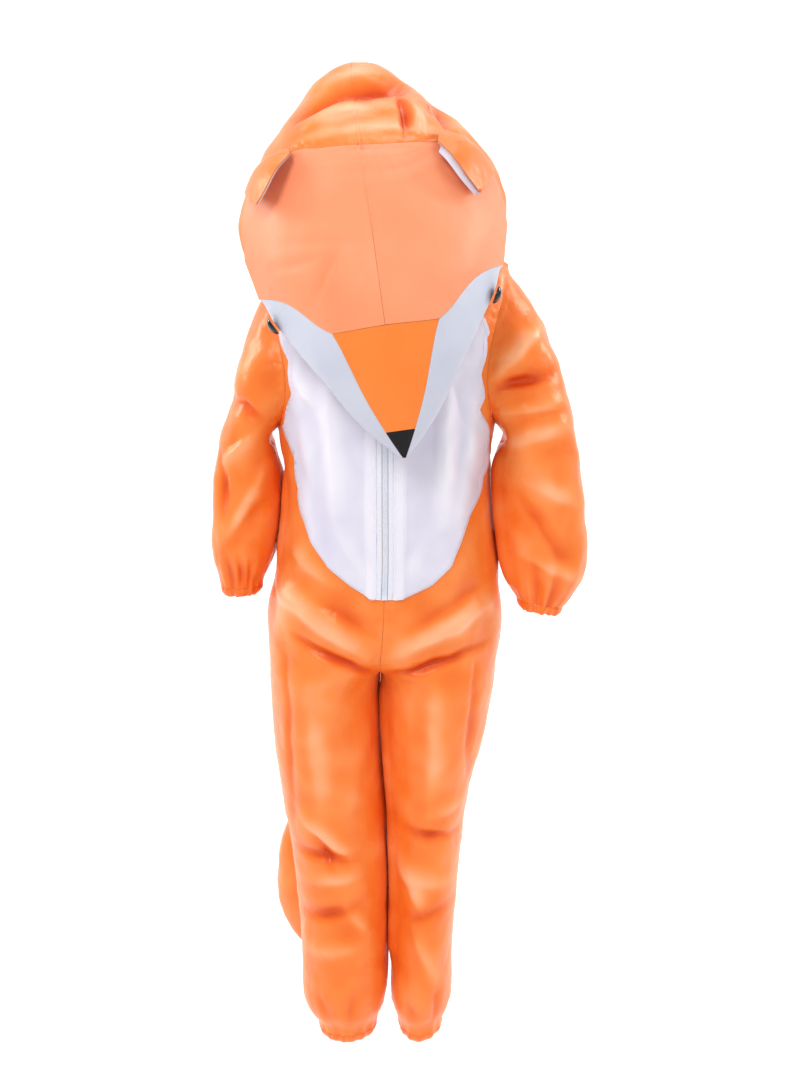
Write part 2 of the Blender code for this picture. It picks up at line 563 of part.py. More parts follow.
def pulled_in(rows, first_row=0.0, last_row=0.0, first_column=0.0, last_column=0.0):
    # The grid with its edges moved inwards along the cloth, which leaves the seam gaps
    result = [[point.copy() for point in row] for row in rows]
    for column in range(len(rows[0])):
        result[0][column] += (rows[1][column] - rows[0][column]).normalized() * first_row
        result[-1][column] += (rows[-2][column] - rows[-1][column]).normalized() * last_row
    for index, row in enumerate(rows):
        first = first_column(index) if callable(first_column) else first_column
        result[index][0] += (row[1] - row[0]).normalized() * first
        result[index][-1] += (row[-2] - row[-1]).normalized() * last_column
    return result


def triangles(corners, outer, i, j):
    # The two triangles of one square of a grid, split across its shorter diagonal
    a, b, c, d = corners[i][j], corners[i + 1][j], corners[i + 1][j + 1], corners[i][j + 1]
    falling = (outer[i][j] - outer[i + 1][j + 1]).length
    rising = (outer[i + 1][j] - outer[i][j + 1]).length
    return [(a, b, c), (a, c, d)] if falling <= rising else [(a, b, d), (b, c, d)]


def wall(name, outer, normals, thickness, finish, flip, lift=0.0, thin_edges=True):
    # A closed wall of cloth between an outer grid and its points moved in. Foam thins to
    # plain cloth at its seams. Flip says that columns crossed with rows look inwards.
    rows = len(outer)
    columns = len(outer[0])
    if not isinstance(thickness, list):
        thickness = [thickness] * rows
    depths = [[depth] * columns for depth in thickness]
    if thin_edges:
        for i, j in itertools.product(range(rows), range(columns)):
            if i in (0, rows - 1) or j in (0, columns - 1):
                depths[i][j] = min(SATIN_WALL, depths[i][j])
    mesh = bpy.data.meshes.new(name)
    shell = bmesh.new()
    front = [[shell.verts.new(p + n * lift) for p, n in zip(*pair)] for pair in zip(outer, normals)]
    back = [[shell.verts.new(p + n * (lift - depth)) for p, n, depth in zip(points, looks, line)]
            for points, looks, line in zip(outer, normals, depths)]
    faces = []
    for i in range(rows - 1):
        for j in range(columns - 1):
            faces += triangles(front, outer, i, j)
            faces += [face[::-1] for face in triangles(back, outer, i, j)]
        faces.append((front[i][0], back[i][0], back[i + 1][0], front[i + 1][0]))
        faces.append((front[i][-1], front[i + 1][-1], back[i + 1][-1], back[i][-1]))
    for j in range(columns - 1):
        faces.append((front[0][j], front[0][j + 1], back[0][j + 1], back[0][j]))
        faces.append((front[-1][j], back[-1][j], back[-1][j + 1], front[-1][j + 1]))
    for face in faces:
        shell.faces.new(face if flip else reversed(face))
    shell.to_mesh(mesh)
    shell.free()
    return place(name, mesh, finish)


def place(name, mesh, finish):
    made = bpy.data.objects.new(name, mesh)
    mesh.materials.append(finish)
    mesh.shade_smooth()
    mesh.set_sharp_from_angle(angle=math.radians(50))
    costume.objects.link(made)
    return made


def material(name, colour, roughness, sheen=0.0):
    made = bpy.data.materials.new(name)
    made.use_nodes = True
    shader = made.node_tree.nodes["Principled BSDF"]
    shader.inputs["Base Color"].default_value = (*colour, 1)
    shader.inputs["Roughness"].default_value = roughness
    shader.inputs["Sheen Weight"].default_value = sheen
    return made


def picked(rows, lookup, flip):
    # Normals for every point of a grid: the stored ones, or else the grid's own
    own = shared_normals([(rows, flip)])
    return [[lookup.get(corner_key(point), own[corner_key(point)]) for point in row] for row in rows]


def on_row(points, normals, distance, side):
    # Point and normal where a panel's row is a given distance from the centre seam
    seam = points[0].x
    for index in range(len(points) - 1):
        near = side * (points[index].x - seam)
        far = side * (points[index + 1].x - seam)
        if far >= distance or index == len(points) - 2:
            share = min(max((distance - near) / (far - near), 0.0), 1.0)
            normal = normals[index].lerp(normals[index + 1], share)
            return points[index].lerp(points[index + 1], share), normal.normalized()


def strip(panel, first, last, distances, side):
    # Points and normals across a panel's rows at the given distances from the seam
    points = []
    normals = []
    for row in range(first, last + 1):
        found = [on_row(*panel[row], distance, side) for distance in distances]
        points.append([point for point, normal in found])
        normals.append([normal for point, normal in found])
    return points, normals


def zip_rows():
    # The mesh row at the lower end of the zip
    return body_places().index(ZIP_END)


def tummy_outline(side):
    # The cutter's outline, from the top edge down the side to below the zip
    return [((row.left if side > 0 else -row.right), row.height) for row in TUMMY]


def lofted(name, loops, finish, ring=False, frame=None):
    # A solid through loops with the same number of points, closed into a ring or capped
    maker = bmesh.new()
    bands = [[maker.verts.new(point) for point in loop] for loop in loops]
    for first, second in zip(bands, bands[1:] + (bands[:1] if ring else [])):
        for index in range(len(first)):
            after = (index + 1) % len(first)
            maker.faces.new((first[index], first[after], second[after], second[index]))
    if not ring:
        maker.faces.new(reversed(bands[0]))
        maker.faces.new(bands[-1])
    bmesh.ops.recalc_face_normals(maker, faces=maker.faces)
    if frame:
        bmesh.ops.transform(maker, matrix=frame, verts=maker.verts)
    mesh = bpy.data.meshes.new(name)
    maker.to_mesh(mesh)
    maker.free()
    return place(name, mesh, finish)


def combined(target, tool, operation):
    # The target cut to, or joined with, a tool object that is used up
    step = target.modifiers.new(operation, "BOOLEAN")
    step.operation = operation
    step.object = tool
    bpy.context.view_layer.update()
    worked = target.evaluated_get(bpy.context.evaluated_depsgraph_get())
    target.data = bpy.data.meshes.new_from_object(worked)
    target.modifiers.clear()
    bpy.data.objects.remove(tool)
    return target


def make_tummy(name, panel, side, finish):
    # Cut from a copy of the front panel moved out, with a raised welt beside the zip
    points, normals = strip(panel, TUMMY_TOP_ROW, zip_rows(), [TAPE_OUTER + SEAM_GAP, WELT_OUTER], side)
    for index, (near, far) in enumerate(zip(points, normals)):
        row, looks = panel[TUMMY_TOP_ROW + index]
        near[:] = [p + n * WELT_HEIGHT for p, n in zip(near, far)] + row[2:TUMMY_COLUMNS]
        far[:] = far + looks[2:TUMMY_COLUMNS]
    blank = wall(name, points, normals, SATIN_WALL, finish, side > 0, LAYER_GAP + SATIN_WALL)
    outline = [(0.0, TUMMY[0].height)] + tummy_outline(side) + [(0.0, TUMMY[-1].height)]
    loops = [[(x, y, z) for x, z in outline] for y in (-0.2, 0.0)]
    return combined(blank, lofted("outline_" + name, loops, finish), "INTERSECT")


def make_tape(name, panel, side, finish):
    points, normals = strip(panel, ZIP_TOP_ROW, zip_rows(), [TAPE_INNER, TAPE_OUTER], side)
    return wall(name, points, normals, 0.001, finish, side > 0, LAYER_GAP + 0.001)


def make_coil(name, panels, finish):
    # The closed row of teeth between the two front panels
    last = zip_rows()
    points = []
    normals = []
    for row in range(ZIP_TOP_ROW, last + 1):
        normal = sum((panel[row][1][0] for panel in panels), Vector()).normalized()
        seam = panels[0][row][0][0]
        points.append([seam + Vector((x, 0, 0)) for x in (-COIL_HALF_WIDTH, COIL_HALF_WIDTH)])
        normals.append([normal, normal])
    return wall(name, points, normals, COIL_DEPTH, finish, True, COIL_PROUD, thin_edges=False)


def make_cuff(name, ring, away, finish):
    # A gathered elastic hem that carries on from the last ring of a sleeve or leg
    loop = ring[:-1]
    opposite = max(loop, key=lambda point: (point - loop[0]).length)
    centre = (loop[0] + opposite) / 2
    front = max(centre.y - point.y for point in loop)
    back = max(point.y - centre.y for point in loop)
    count = CUFF_WAVES * 2
    rows = []
    for travel, wave in ((SEAM_GAP, 0.0), (CUFF_WIDTH * 0.5, 0.7), (CUFF_WIDTH, 1.3)):
        row = []
        for step in range(count + 1):
            turn = 2 * math.pi * (step % count) / count
            depth = front if step <= CUFF_WAVES else back
            across = (loop[0] - centre) * math.cos(turn) - Vector((0, depth * math.sin(turn), 0))
            pleat = -2 * CUFF_WAVE_DEPTH * wave * (step % 2)
            row.append(centre + across + across.normalized() * pleat + away * travel)
        rows.append(row)
    spokes = [[point - centre for point in row] for row in rows]
    normals = [[(spoke - away * spoke.dot(away)).normalized() for spoke in row] for row in spokes]
    rows = pulled_in(rows, first_column=SEAM_GAP / 2, last_column=SEAM_GAP / 2)
    return wall(name, rows, normals, SATIN_WALL, finish, flip_of(rows, normals))


def flip_of(rows, normals):
    # Whether a grid's columns crossed with its rows point inwards
    corner, below, beside = rows[0][0], rows[1][0], rows[0][1]
    return (beside - corner).cross(below - corner).dot(normals[0][0]) < 0


def make_ear(name, table, side, lift, finish):
    # One layer of an ear: it leaves its root, folds over and ends in a free edge
    steps = 4
    rows = []
    for place_in_row in range(2 * (len(table) - 1) + 1):
        section = row_at(table, place_in_row / 2)
        root, fold, free = (Vector(section[index:index + 3]) for index in (0, 3, 6))
        row = []
        for step in range(steps + 1):
            t = step / steps
            row.append(head(root * (1 - t) ** 2 + fold * 2 * t * (1 - t) + free * t ** 2, side))
        rows.append(row)
    flip = side < 0
    normals = picked(rows, shared_normals([(rows, flip)]), flip)
    return wall(name, rows, normals, SATIN_WALL, finish, flip, lift)


def make_eye(name, cheek, normals, finish):
    # A domed button whose flat back lies on the cheek
    row = int(EYE_ROW)
    column = int(EYE_COLUMN)
    part = (EYE_ROW - row, EYE_COLUMN - column)
    near = cheek[row][column].lerp(cheek[row][column + 1], part[1])
    far = cheek[row + 1][column].lerp(cheek[row + 1][column + 1], part[1])
    point = near.lerp(far, part[0])
    facing = normals[row][column].lerp(normals[row + 1][column + 1], 0.5).normalized()
    close = [spot - point for line in cheek for spot in line if (spot - point).length < EYE_CLEARANCE]
    reach = [step.dot(facing) for step in close]
    base = point + facing * (max(reach + [0.0]) + SEAM_GAP)
    rings = []
    for share in (0, 0.22, 0.5, 0.78, 0.95):
        tilt = share * math.pi / 2
        reach_out = EYE_RADIUS * math.cos(tilt)
        turns = [2 * math.pi * step / EYE_SIDES for step in range(EYE_SIDES)]
        height = EYE_HEIGHT * math.sin(tilt)
        rings.append([(reach_out * math.cos(turn), reach_out * math.sin(turn), height) for turn in turns])
    frame = Matrix.Translation(base) @ facing.to_track_quat("Z", "Y").to_matrix().to_4x4()
    return lofted(name, rings, finish, frame=frame)


def make_tail(name, finish):
    # A stuffed tail: rings along its path
    path = [Vector(row[:3]) for row in TAIL]
    rings = []
    for index, (row, centre) in enumerate(zip(TAIL, path)):
        ahead = path[min(index + 1, len(path) - 1)] - path[max(index - 1, 0)]
        ahead = Vector((0, 1, 0)) if index == 0 else ahead.normalized()
        across = ahead.cross(Vector((0, 1, 0.2))).normalized() if index else Vector((1, 0, 0))
        up = across.cross(ahead)
        ring = []
        for step in range(TAIL_SIDES):
            turn = 2 * math.pi * step / TAIL_SIDES
            ring.append(centre + (across * math.cos(turn) + up * math.sin(turn)) * row.radius)
        rings.append(ring)
    return lofted(name, rings, finish)


def armhole(front, back):
    # The loop of points round an armhole, from the underarm up the front and down the back
    places = body_places()
    top = places.index(SHOULDER_TIP)
    bottom = places.index(UNDERARM)
    ring = [front[row][-1].copy() for row in range(bottom, top - 1, -1)]
    return ring + [back[row][-1].copy() for row in range(top + 1, bottom)] + [ring[0].copy()]


def whole_width(right, left):
    # A piece that crosses the centre, from the wearer's right edge to the left one
    return [list(reversed(r)) + l[1:] for r, l in zip(right, left)]


def suit_grids():
    # The outer points of every piece of the shell, each with its winding
    grids = {}
    halves = {}
    for name, side in SIDES.items():
        front, back = body_grids(side)
        grids["front_" + name] = (front, side > 0)
        grids["back_" + name] = (back, side < 0)
        grids["sleeve_" + name] = (sleeve_grid(side, front, back), side > 0)
        face = face_grids(side)
        hood = hood_rows(side, back[0] + front[0][-2::-1])
        for index, row in enumerate(face["forehead"]):
            hood[1 + TEMPLE_ROW + index][-1] = row[-1].copy()
        hood[TEMPLE_ROW][-1] = face["cheek"][0][-1].copy()
        grids["hood_" + name] = (hood, side > 0)
        grids["forehead_" + name] = (face["forehead"], side < 0)
        grids["cheek_" + name] = (face["cheek"], side > 0)
        halves[name] = face
    for part in ("muzzle", "nose"):
        grids[part] = (whole_width(halves["right"][part], halves["left"][part]), True)
    return grids


def fold_suit(grids):
    # The folds, pressed into the shell and carried over to what is sewn to it
    normals = shared_normals(grids.values())
    folds = {"front": (FRONT_FOLDS, BACK_FOLDS), "back": (FRONT_FOLDS, BACK_FOLDS),
             "sleeve": (SLEEVE_FRONT_FOLDS, SLEEVE_BACK_FOLDS), "hood": (HOOD_FRONT_FOLDS, HOOD_BACK_FOLDS)}
    result = dict(grids)
    for name, (rows, flip) in grids.items():
        kind = name.split("_")[0]
        if kind in folds:
            result[name] = (folded(rows, normals, *folds[kind]), flip)
    for name in SIDES:
        front, back, sleeve, hood = (result[part + "_" + name][0] for part in folds)
        sleeve[0] = armhole(front, back)
        hood[0] = [point.copy() for point in back[0] + front[0][-2::-1]]
        for index, row in enumerate(result["forehead_" + name][0]):
            hood[1 + TEMPLE_ROW + index][-1] = row[-1].copy()
        hood[-1] = grids["hood_" + name][0][-1]
        hood[TEMPLE_ROW][-1] = result["cheek_" + name][0][0][-1].copy()
    return result


def cheek_thickness():
    # The foam thins towards the tip of the nose
    halves = [row_at(CHEEK, at).out_x for at in mesh_places(CHEEK)]
    return [max(FOAM_TIP, min(FOAM_WALL, FOAM_SHARE * half)) for half in halves]


def front_edge(index):
    # The front panels stop at the zip, and below it they meet in a seam
    return TAPE_INNER if index <= zip_rows() else SEAM_GAP / 2


def segment_distance(point, near, far):
    share = min(max((point - near).dot(far - near) / (far - near).length_squared, 0.0), 1.0)
    return (point - near.lerp(far, share)).length


def even_seam(points, normals):
    # Normals along a seam, evened out between its corners, for edges that share only those
    start = normals[corner_key(points[0])]
    end = normals[corner_key(points[-1])]
    for index, point in enumerate(points[1:-1], 1):
        normals[corner_key(point)] = start.lerp(end, index / (len(points) - 1)).normalized()


def make_shell(grids):
    normals = shared_normals(grids.values())
    bodice = shared_normals(pair for name, pair in grids.items() if "sleeve" not in name)
    hollow = set()
    for name in SIDES:
        # Under the arm the sleeve and the bodice look at each other, so each keeps its own normals
        loop = grids["sleeve_" + name][0][0]
        middle = (loop[0].z + loop[ARMHOLE_STEPS].z) / 2
        hollow |= {corner_key(point) for point in loop if point.z < middle}
    normals.update((key, bodice[key]) for key in hollow)
    sleeve_normals = {key: normal for key, normal in normals.items() if key not in hollow}
    for name in SIDES:
        even_seam(grids["cheek_" + name][0][0], normals)
        pad_top = grids["forehead_" + name][0][-1]
        hood_top = grids["hood_" + name][0][-1]
        for point in hood_top:
            near, far = min(zip(pad_top, pad_top[1:]), key=lambda pair: segment_distance(point, *pair))
            share = min(max((point - near).dot(far - near) / (far - near).length_squared, 0.0), 1.0)
            blend = normals[corner_key(near)].lerp(normals[corner_key(far)], share)
            normals[corner_key(point)] = blend.normalized()
    seam = SEAM_GAP / 2
    foam = cheek_thickness()
    brow_row = mesh_places(CHEEK).index(BROW_CORNER)
    nose_row = mesh_places(CHEEK).index(NOSE_START)
    finishes = {"front": orange, "back": orange, "sleeve": orange, "hood": orange, "forehead": peach,
                "cheek": white, "muzzle": deep, "nose": black}
    thickness = {"front": SATIN_WALL, "back": SATIN_WALL, "sleeve": SATIN_WALL, "hood": SATIN_WALL,
                 "forehead": FOAM_WALL, "cheek": foam, "muzzle": foam[brow_row:nose_row + 1],
                 "nose": foam[nose_row:]}
    open_ends = ("front", "back", "sleeve", "cheek", "nose")
    for name, (rows, flip) in grids.items():
        kind = name.split("_")[0]
        edges = {"first_row": FACE_SEAM if kind == "cheek" else seam,
                 "last_row": 0.0 if kind in open_ends else seam,
                 "first_column": front_edge if kind == "front" else seam,
                 "last_column": FACE_SEAM if kind == "forehead" else seam}
        looks = picked(rows, sleeve_normals if kind == "sleeve" else normals, flip)
        wall(name, pulled_in(rows, **edges), looks, thickness[kind], finishes[kind], flip)
    return normals


def make_front_trim(grids, normals):
    # The white tummy, the zip's tapes and its row of teeth
    panels = []
    for name, side in SIDES.items():
        rows, flip = grids["front_" + name]
        panel = list(zip(rows, picked(rows, normals, flip)))
        panels.append(panel)
        make_tummy("tummy_" + name, panel, side, white)
        make_tape("zip_tape_" + name, panel, side, nylon)
    make_coil("zip_teeth", panels, nylon)
    frame = slider_frame(panels)
    make_slider(frame, enamel)
    make_pull_tab(frame, enamel)


def make_cuffs(grids):
    for name in SIDES:
        sleeve = grids["sleeve_" + name][0]
        away = sum(sleeve[-1][:-1], Vector()) - sum(sleeve[-2][:-1], Vector())
        make_cuff("wrist_cuff_" + name, sleeve[-1], ring_normal(sleeve[-1], away), orange)
        front = grids["front_" + name][0][-1]
        back = grids["back_" + name][0][-1]
        make_cuff("ankle_cuff_" + name, front + back[-2::-1], Vector((0, 0, -1)), orange)


def ring_normal(ring, away):
    # The direction square to a flat ring, on the side that away points to
    quarter = len(ring) // 4
    normal = (ring[quarter] - ring[0]).cross(ring[2 * quarter] - ring[0]).normalized()
    return normal if normal.dot(away) > 0 else -normal


def make_ears():
    for name, table in (("right", EAR_RIGHT), ("left", EAR_LEFT)):
        side = SIDES[name]
        make_ear("ear_back_" + name, table, side, 0.0, orange)
        make_ear("ear_lining_" + name, table, side, -(SATIN_WALL + SEAM_GAP), white)


def slider_frame(panels):
    # On the closed teeth: x across the zip, y into the cloth and z up along the teeth
    seam = [panels[0][row][0][0] for row in (SLIDER_ROW - 1, SLIDER_ROW, SLIDER_ROW + 1)]
    inward = -panels[0][SLIDER_ROW][1][0]
    up = seam[0] - seam[2]
    up.x = inward.x = 0
    inward = (inward - up * inward.dot(up) / up.length_squared).normalized()
    frame = Matrix((Vector((1, 0, 0)), inward, up.normalized())).transposed().to_4x4()
    frame.translation = seam[1]
    return frame


def make_slider(frame, finish):
    # A plate over the teeth with an arched bridge for the pull tab
    under = -(COIL_PROUD + SEAM_GAP)
    face = under - SLIDER_THICKNESS
    crest = face - BRIDGE_RISE
    end = SLIDER_LENGTH / 2
    plate = [(under, end), (under, -end), (face, -end + 0.001), (face, end - 0.001)]
    root = face + 0.0008
    arch = [(root, end - 0.0016), (crest + 0.0014, end - 0.0016), (crest, end - 0.003),
            (crest, -end + 0.003), (crest + 0.0014, -end + 0.0016), (root, -end + 0.0016),
            (root, -end + 0.0034), (crest + 0.0014, -end + 0.0034), (crest + 0.0014, end - 0.0034),
            (root, end - 0.0034)]
    solids = []
    for outline, half in ((plate, SLIDER_WIDTH / 2), (arch, BRIDGE_WIDTH / 2)):
        loops = [[(x, y, z) for y, z in outline] for x in (-half, half)]
        solids.append(lofted("zip_slider", loops, finish, frame=frame))
    return combined(*solids, "UNION")


def make_pull_tab(frame, finish):
    # A flat tab whose top bar lies under the slider's bridge
    pivot = -(COIL_PROUD + SEAM_GAP + SLIDER_THICKNESS + TAB_CLEARANCE + TAB_THICKNESS / 2)
    half = TAB_WIDTH / 2
    bar = TAB_THICKNESS / 2
    window = half - TAB_THICKNESS
    outer = [(-half, bar), (half, bar), (half, -0.5 * TAB_LENGTH), (0.8 * half, -0.9 * TAB_LENGTH),
             (0.4 * half, -TAB_LENGTH), (-0.4 * half, -TAB_LENGTH), (-0.8 * half, -0.9 * TAB_LENGTH),
             (-half, -0.5 * TAB_LENGTH)]
    inner = [(-window, -bar), (window, -bar), (window, -0.5 * TAB_WINDOW), (window, -0.9 * TAB_WINDOW),
             (0.6 * window, -TAB_WINDOW), (-0.6 * window, -TAB_WINDOW), (-window, -0.9 * TAB_WINDOW),
             (-window, -0.5 * TAB_WINDOW)]
    near = pivot - TAB_THICKNESS / 2
    far = pivot + TAB_THICKNESS / 2
    edges = ((outer, near), (outer, far), (inner, far), (inner, near))
    loops = [[(x, y, z) for x, z in outline] for outline, y in edges]
    return lofted("zip_pull_tab", loops, finish, ring=True, frame=frame)


for old in list(bpy.data.objects):
    bpy.data.objects.remove(old)
costume = bpy.data.collections.new("fox_costume")
bpy.context.scene.collection.children.link(costume)

orange = material("orange_satin", ORANGE, 0.38, 0.3)
peach = material("padded_satin", PEACH, 0.5, 0.3)
deep = material("deep_orange_satin", DEEP_ORANGE, 0.5, 0.3)
white = material("white_satin", WHITE, 0.42, 0.3)
black = material("black_satin", BLACK, 0.45)
gloss = material("black_button", BLACK, 0.08)
nylon = material("white_nylon", WHITE, 0.4)
enamel = material("white_enamelled_zinc", WHITE, 0.25)

shell_grids = fold_suit(suit_grids())
shell_normals = make_shell(shell_grids)
make_front_trim(shell_grids, shell_normals)
make_cuffs(shell_grids)
make_ears()
for eye_side in SIDES:
    cheek_grid, cheek_flip = shell_grids["cheek_" + eye_side]
    make_eye("eye_" + eye_side, cheek_grid, picked(cheek_grid, shell_normals, cheek_flip), gloss)
make_tail("tail", orange)
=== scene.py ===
import math
import bpy
import bmesh
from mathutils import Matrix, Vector, noise
from mathutils.bvhtree import BVHTree
from mathutils.kdtree import KDTree


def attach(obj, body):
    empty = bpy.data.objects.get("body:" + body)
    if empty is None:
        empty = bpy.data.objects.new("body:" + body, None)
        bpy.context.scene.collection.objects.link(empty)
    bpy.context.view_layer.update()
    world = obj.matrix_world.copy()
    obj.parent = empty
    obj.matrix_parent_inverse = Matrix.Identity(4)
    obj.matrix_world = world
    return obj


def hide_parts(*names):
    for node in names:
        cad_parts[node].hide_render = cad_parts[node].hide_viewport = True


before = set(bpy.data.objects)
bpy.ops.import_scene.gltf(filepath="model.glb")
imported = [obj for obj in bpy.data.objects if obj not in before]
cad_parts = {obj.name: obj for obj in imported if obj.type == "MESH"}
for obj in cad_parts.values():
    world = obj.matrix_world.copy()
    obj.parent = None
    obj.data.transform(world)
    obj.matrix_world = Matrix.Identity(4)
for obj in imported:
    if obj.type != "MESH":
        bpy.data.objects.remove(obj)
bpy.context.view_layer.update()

print("frame loaded:", len(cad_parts), "nodes")

# Helpers

def linearColour(code):
    # an sRGB hex value as the linear colour that a shader wants
    parts = [int(code[i:i + 2], 16) / 255 for i in (1, 3, 5)]
    return tuple(p / 12.92 if p <= 0.04045 else ((p + 0.055) / 1.055) ** 2.4 for p in parts) + (1.0,)


def addNode(tree, kind, sockets, **settings):
    # a node with its settings, and each socket linked or given a value
    node = tree.nodes.new(kind)
    for name, value in settings.items():
        setattr(node, name, value)
    for name, value in sockets.items():
        if isinstance(value, bpy.types.NodeSocket):
            tree.links.new(value, node.inputs[name])
        else:
            node.inputs[name].default_value = value
    return node


def smooth(value):
    value = min(max(value, 0.0), 1.0)
    return value * value * (3 - 2 * value)


def perMetre(mm):
    # a texture's scale for a feature of this many millimetres
    return 1000 / mm


def plainMesh(piece):
    # the piece with its modifiers worked in
    bpy.context.view_layer.update()
    done = bpy.data.meshes.new_from_object(piece.evaluated_get(bpy.context.evaluated_depsgraph_get()))
    piece.modifiers.clear()
    piece.data = done
    return piece


# Materials

def satin(name, look):
    # woven polyester satin: a soft streaky gloss, with painted highlight on the ridges and painted shade,
    # redder, down in the folds
    made = bpy.data.materials.new(name)
    made.use_nodes = True
    tree = made.node_tree
    shader = tree.nodes["Principled BSDF"]
    place = addNode(tree, "ShaderNodeTexCoord", {}).outputs["Object"]
    # the value kept on the cloth's points is painted shade where low and painted highlight where high; a random
    # tone is mixed in
    depth = addNode(tree, "ShaderNodeAttribute", {}, attribute_name="depth").outputs["Fac"]
    cloud = addNode(tree, "ShaderNodeTexNoise", {"Vector": place, "Scale": perMetre(look["cloudMm"]),
                                                 "Detail": 2.0})
    mixed = addNode(tree, "ShaderNodeMath", {0: cloud.outputs["Fac"], 1: look["cloudShare"], 2: depth},
                    operation="MULTIPLY_ADD")
    ramp = addNode(tree, "ShaderNodeValToRGB", {"Fac": mixed.outputs[0]})
    stops = ramp.color_ramp.elements
    stops[0].position, stops[0].color = look["stops"][0][0], linearColour(look["stops"][0][1])
    stops[1].position, stops[1].color = look["stops"][-1][0], linearColour(look["stops"][-1][1])
    for at, code in look["stops"][1:-1]:
        stops.new(at).color = linearColour(code)
    tree.links.new(ramp.outputs["Color"], shader.inputs["Base Color"])
    # the weave's floats, drawn at 1.6 mm because the real 0.2 mm would not show
    long = addNode(tree, "ShaderNodeMapping", {"Vector": place, "Scale": look["grain"]})
    weave = addNode(tree, "ShaderNodeTexNoise", {"Vector": long.outputs[0], "Detail": 3.0, "Roughness": 0.6,
                                                 "Scale": perMetre(look["weaveMm"])})
    crinkle = addNode(tree, "ShaderNodeTexNoise", {"Vector": place, "Scale": perMetre(look["crinkleMm"]),
                                                   "Detail": 4.0, "Roughness": 0.55, "Distortion": 0.4})
    # creases run mostly down the cloth, with crisp ridges
    drawn = addNode(tree, "ShaderNodeMapping", {"Vector": place, "Scale": (1.0, 1.0, 0.55),
                                                "Rotation": (0.2, 0.35, 0.0)})
    crease = addNode(tree, "ShaderNodeTexNoise", {"Vector": drawn.outputs[0], "Detail": 1.5, "Roughness": 0.45,
                                                  "Distortion": 0.6, "Scale": perMetre(look["creaseMm"])},
                     noise_type="RIDGED_MULTIFRACTAL")
    far = addNode(tree, "ShaderNodeBump", {"Height": crease.outputs["Fac"], "Strength": look["crease"],
                                           "Distance": 0.006})
    low = addNode(tree, "ShaderNodeBump", {"Height": crinkle.outputs["Fac"], "Strength": look["crinkle"],
                                           "Distance": 0.003, "Normal": far.outputs[0]})
    high = addNode(tree, "ShaderNodeBump", {"Height": weave.outputs["Fac"], "Strength": look["weave"],
                                            "Distance": 0.0006, "Normal": low.outputs[0]})
    tree.links.new(high.outputs[0], shader.inputs["Normal"])
    shine = addNode(tree, "ShaderNodeMapRange", {"Value": weave.outputs["Fac"], "From Min": 0.3,
                                                 "From Max": 0.7, "To Min": look["roughness"] - 0.05,
                                                 "To Max": look["roughness"] + 0.07})
    tree.links.new(shine.outputs[0], shader.inputs["Roughness"])
    shader.inputs["Sheen Weight"].default_value = look["sheen"]
    shader.inputs["Sheen Roughness"].default_value = 0.4
    shader.inputs["Sheen Tint"].default_value = linearColour(look["sheenTint"])
    shader.inputs["Specular IOR Level"].default_value = look["specular"]
    shader.inputs["Specular Tint"].default_value = linearColour(look["glossTint"])
    return made


# each look's stops run from painted shade, through the cloth's own colour, to painted highlight
orangeLook = {"stops": [(0.14, "#D8440A"), (0.36, "#F06416"), (0.54, "#F97C2C"), (0.66, "#FC8E46"),
                        (0.9, "#FFB384")],
              "cloudMm": 70, "cloudShare": 0.3, "weaveMm": 1.6, "weave": 0.12, "grain": (1.0, 1.0, 0.3),
              "crinkleMm": 16, "crinkle": 0.35, "creaseMm": 95, "crease": 0.55, "roughness": 0.34,
              "sheen": 0.08, "sheenTint": "#FFB080", "specular": 0.55, "glossTint": "#FFE2C8"}
# the forehead pad's peach is the orange satin painted lighter, as painted light on a pad that faces up
litPeachLook = dict(orangeLook, crinkle=0.10, crease=0.12, cloudMm=90, roughness=0.5,
                 stops=[(0.10, "#EC7040"), (0.38, "#F88A5A"), (0.60, "#FC9A70"), (0.9, "#FFB088")])
muzzleLook = dict(orangeLook, crinkle=0.06, crease=0.05, cloudMm=60, roughness=0.5,
                  stops=[(0.10, "#EE6412"), (0.4, "#FA7A25"), (0.60, "#FC8534"), (0.9, "#FE9A52")])
whiteLook = dict(orangeLook, stops=[(0.08, "#B2A9C8"), (0.36, "#CFC9DF"), (0.58, "#DEDAE9"), (0.85, "#EFEBF5")],
                 crinkle=0.2, crease=0.35, cloudMm=60, roughness=0.45, sheen=0.1, sheenTint="#FFFFFF",
                 glossTint="#FFFFFF")
# the cheeks are the white satin painted darker and bluer, as painted shade on bands that face sideways and down
shadedCheekLook = dict(whiteLook, stops=[(0.08, "#A6A8BE"), (0.36, "#BCBFD1"), (0.60, "#CBCEDD"), (0.9, "#DCDFEA")],
                 crinkle=0.06, crease=0.04)
noseLook = dict(whiteLook, stops=[(0.1, "#040404"), (0.9, "#101011")], crinkle=0.05, crease=0.05,
                roughness=0.6, sheen=0.0, specular=0.3)

finishes = {"orange_satin": satin("orange polyester satin", orangeLook),
            "padded_satin": satin("orange satin over foam painted lighter", litPeachLook),
            "deep_orange_satin": satin("saturated orange satin over foam", muzzleLook),
            "white_satin": satin("white polyester satin", whiteLook),
            "shaded_cheek_satin": satin("shaded white satin over foam", shadedCheekLook),
            "black_satin": satin("black polyester satin", noseLook)}


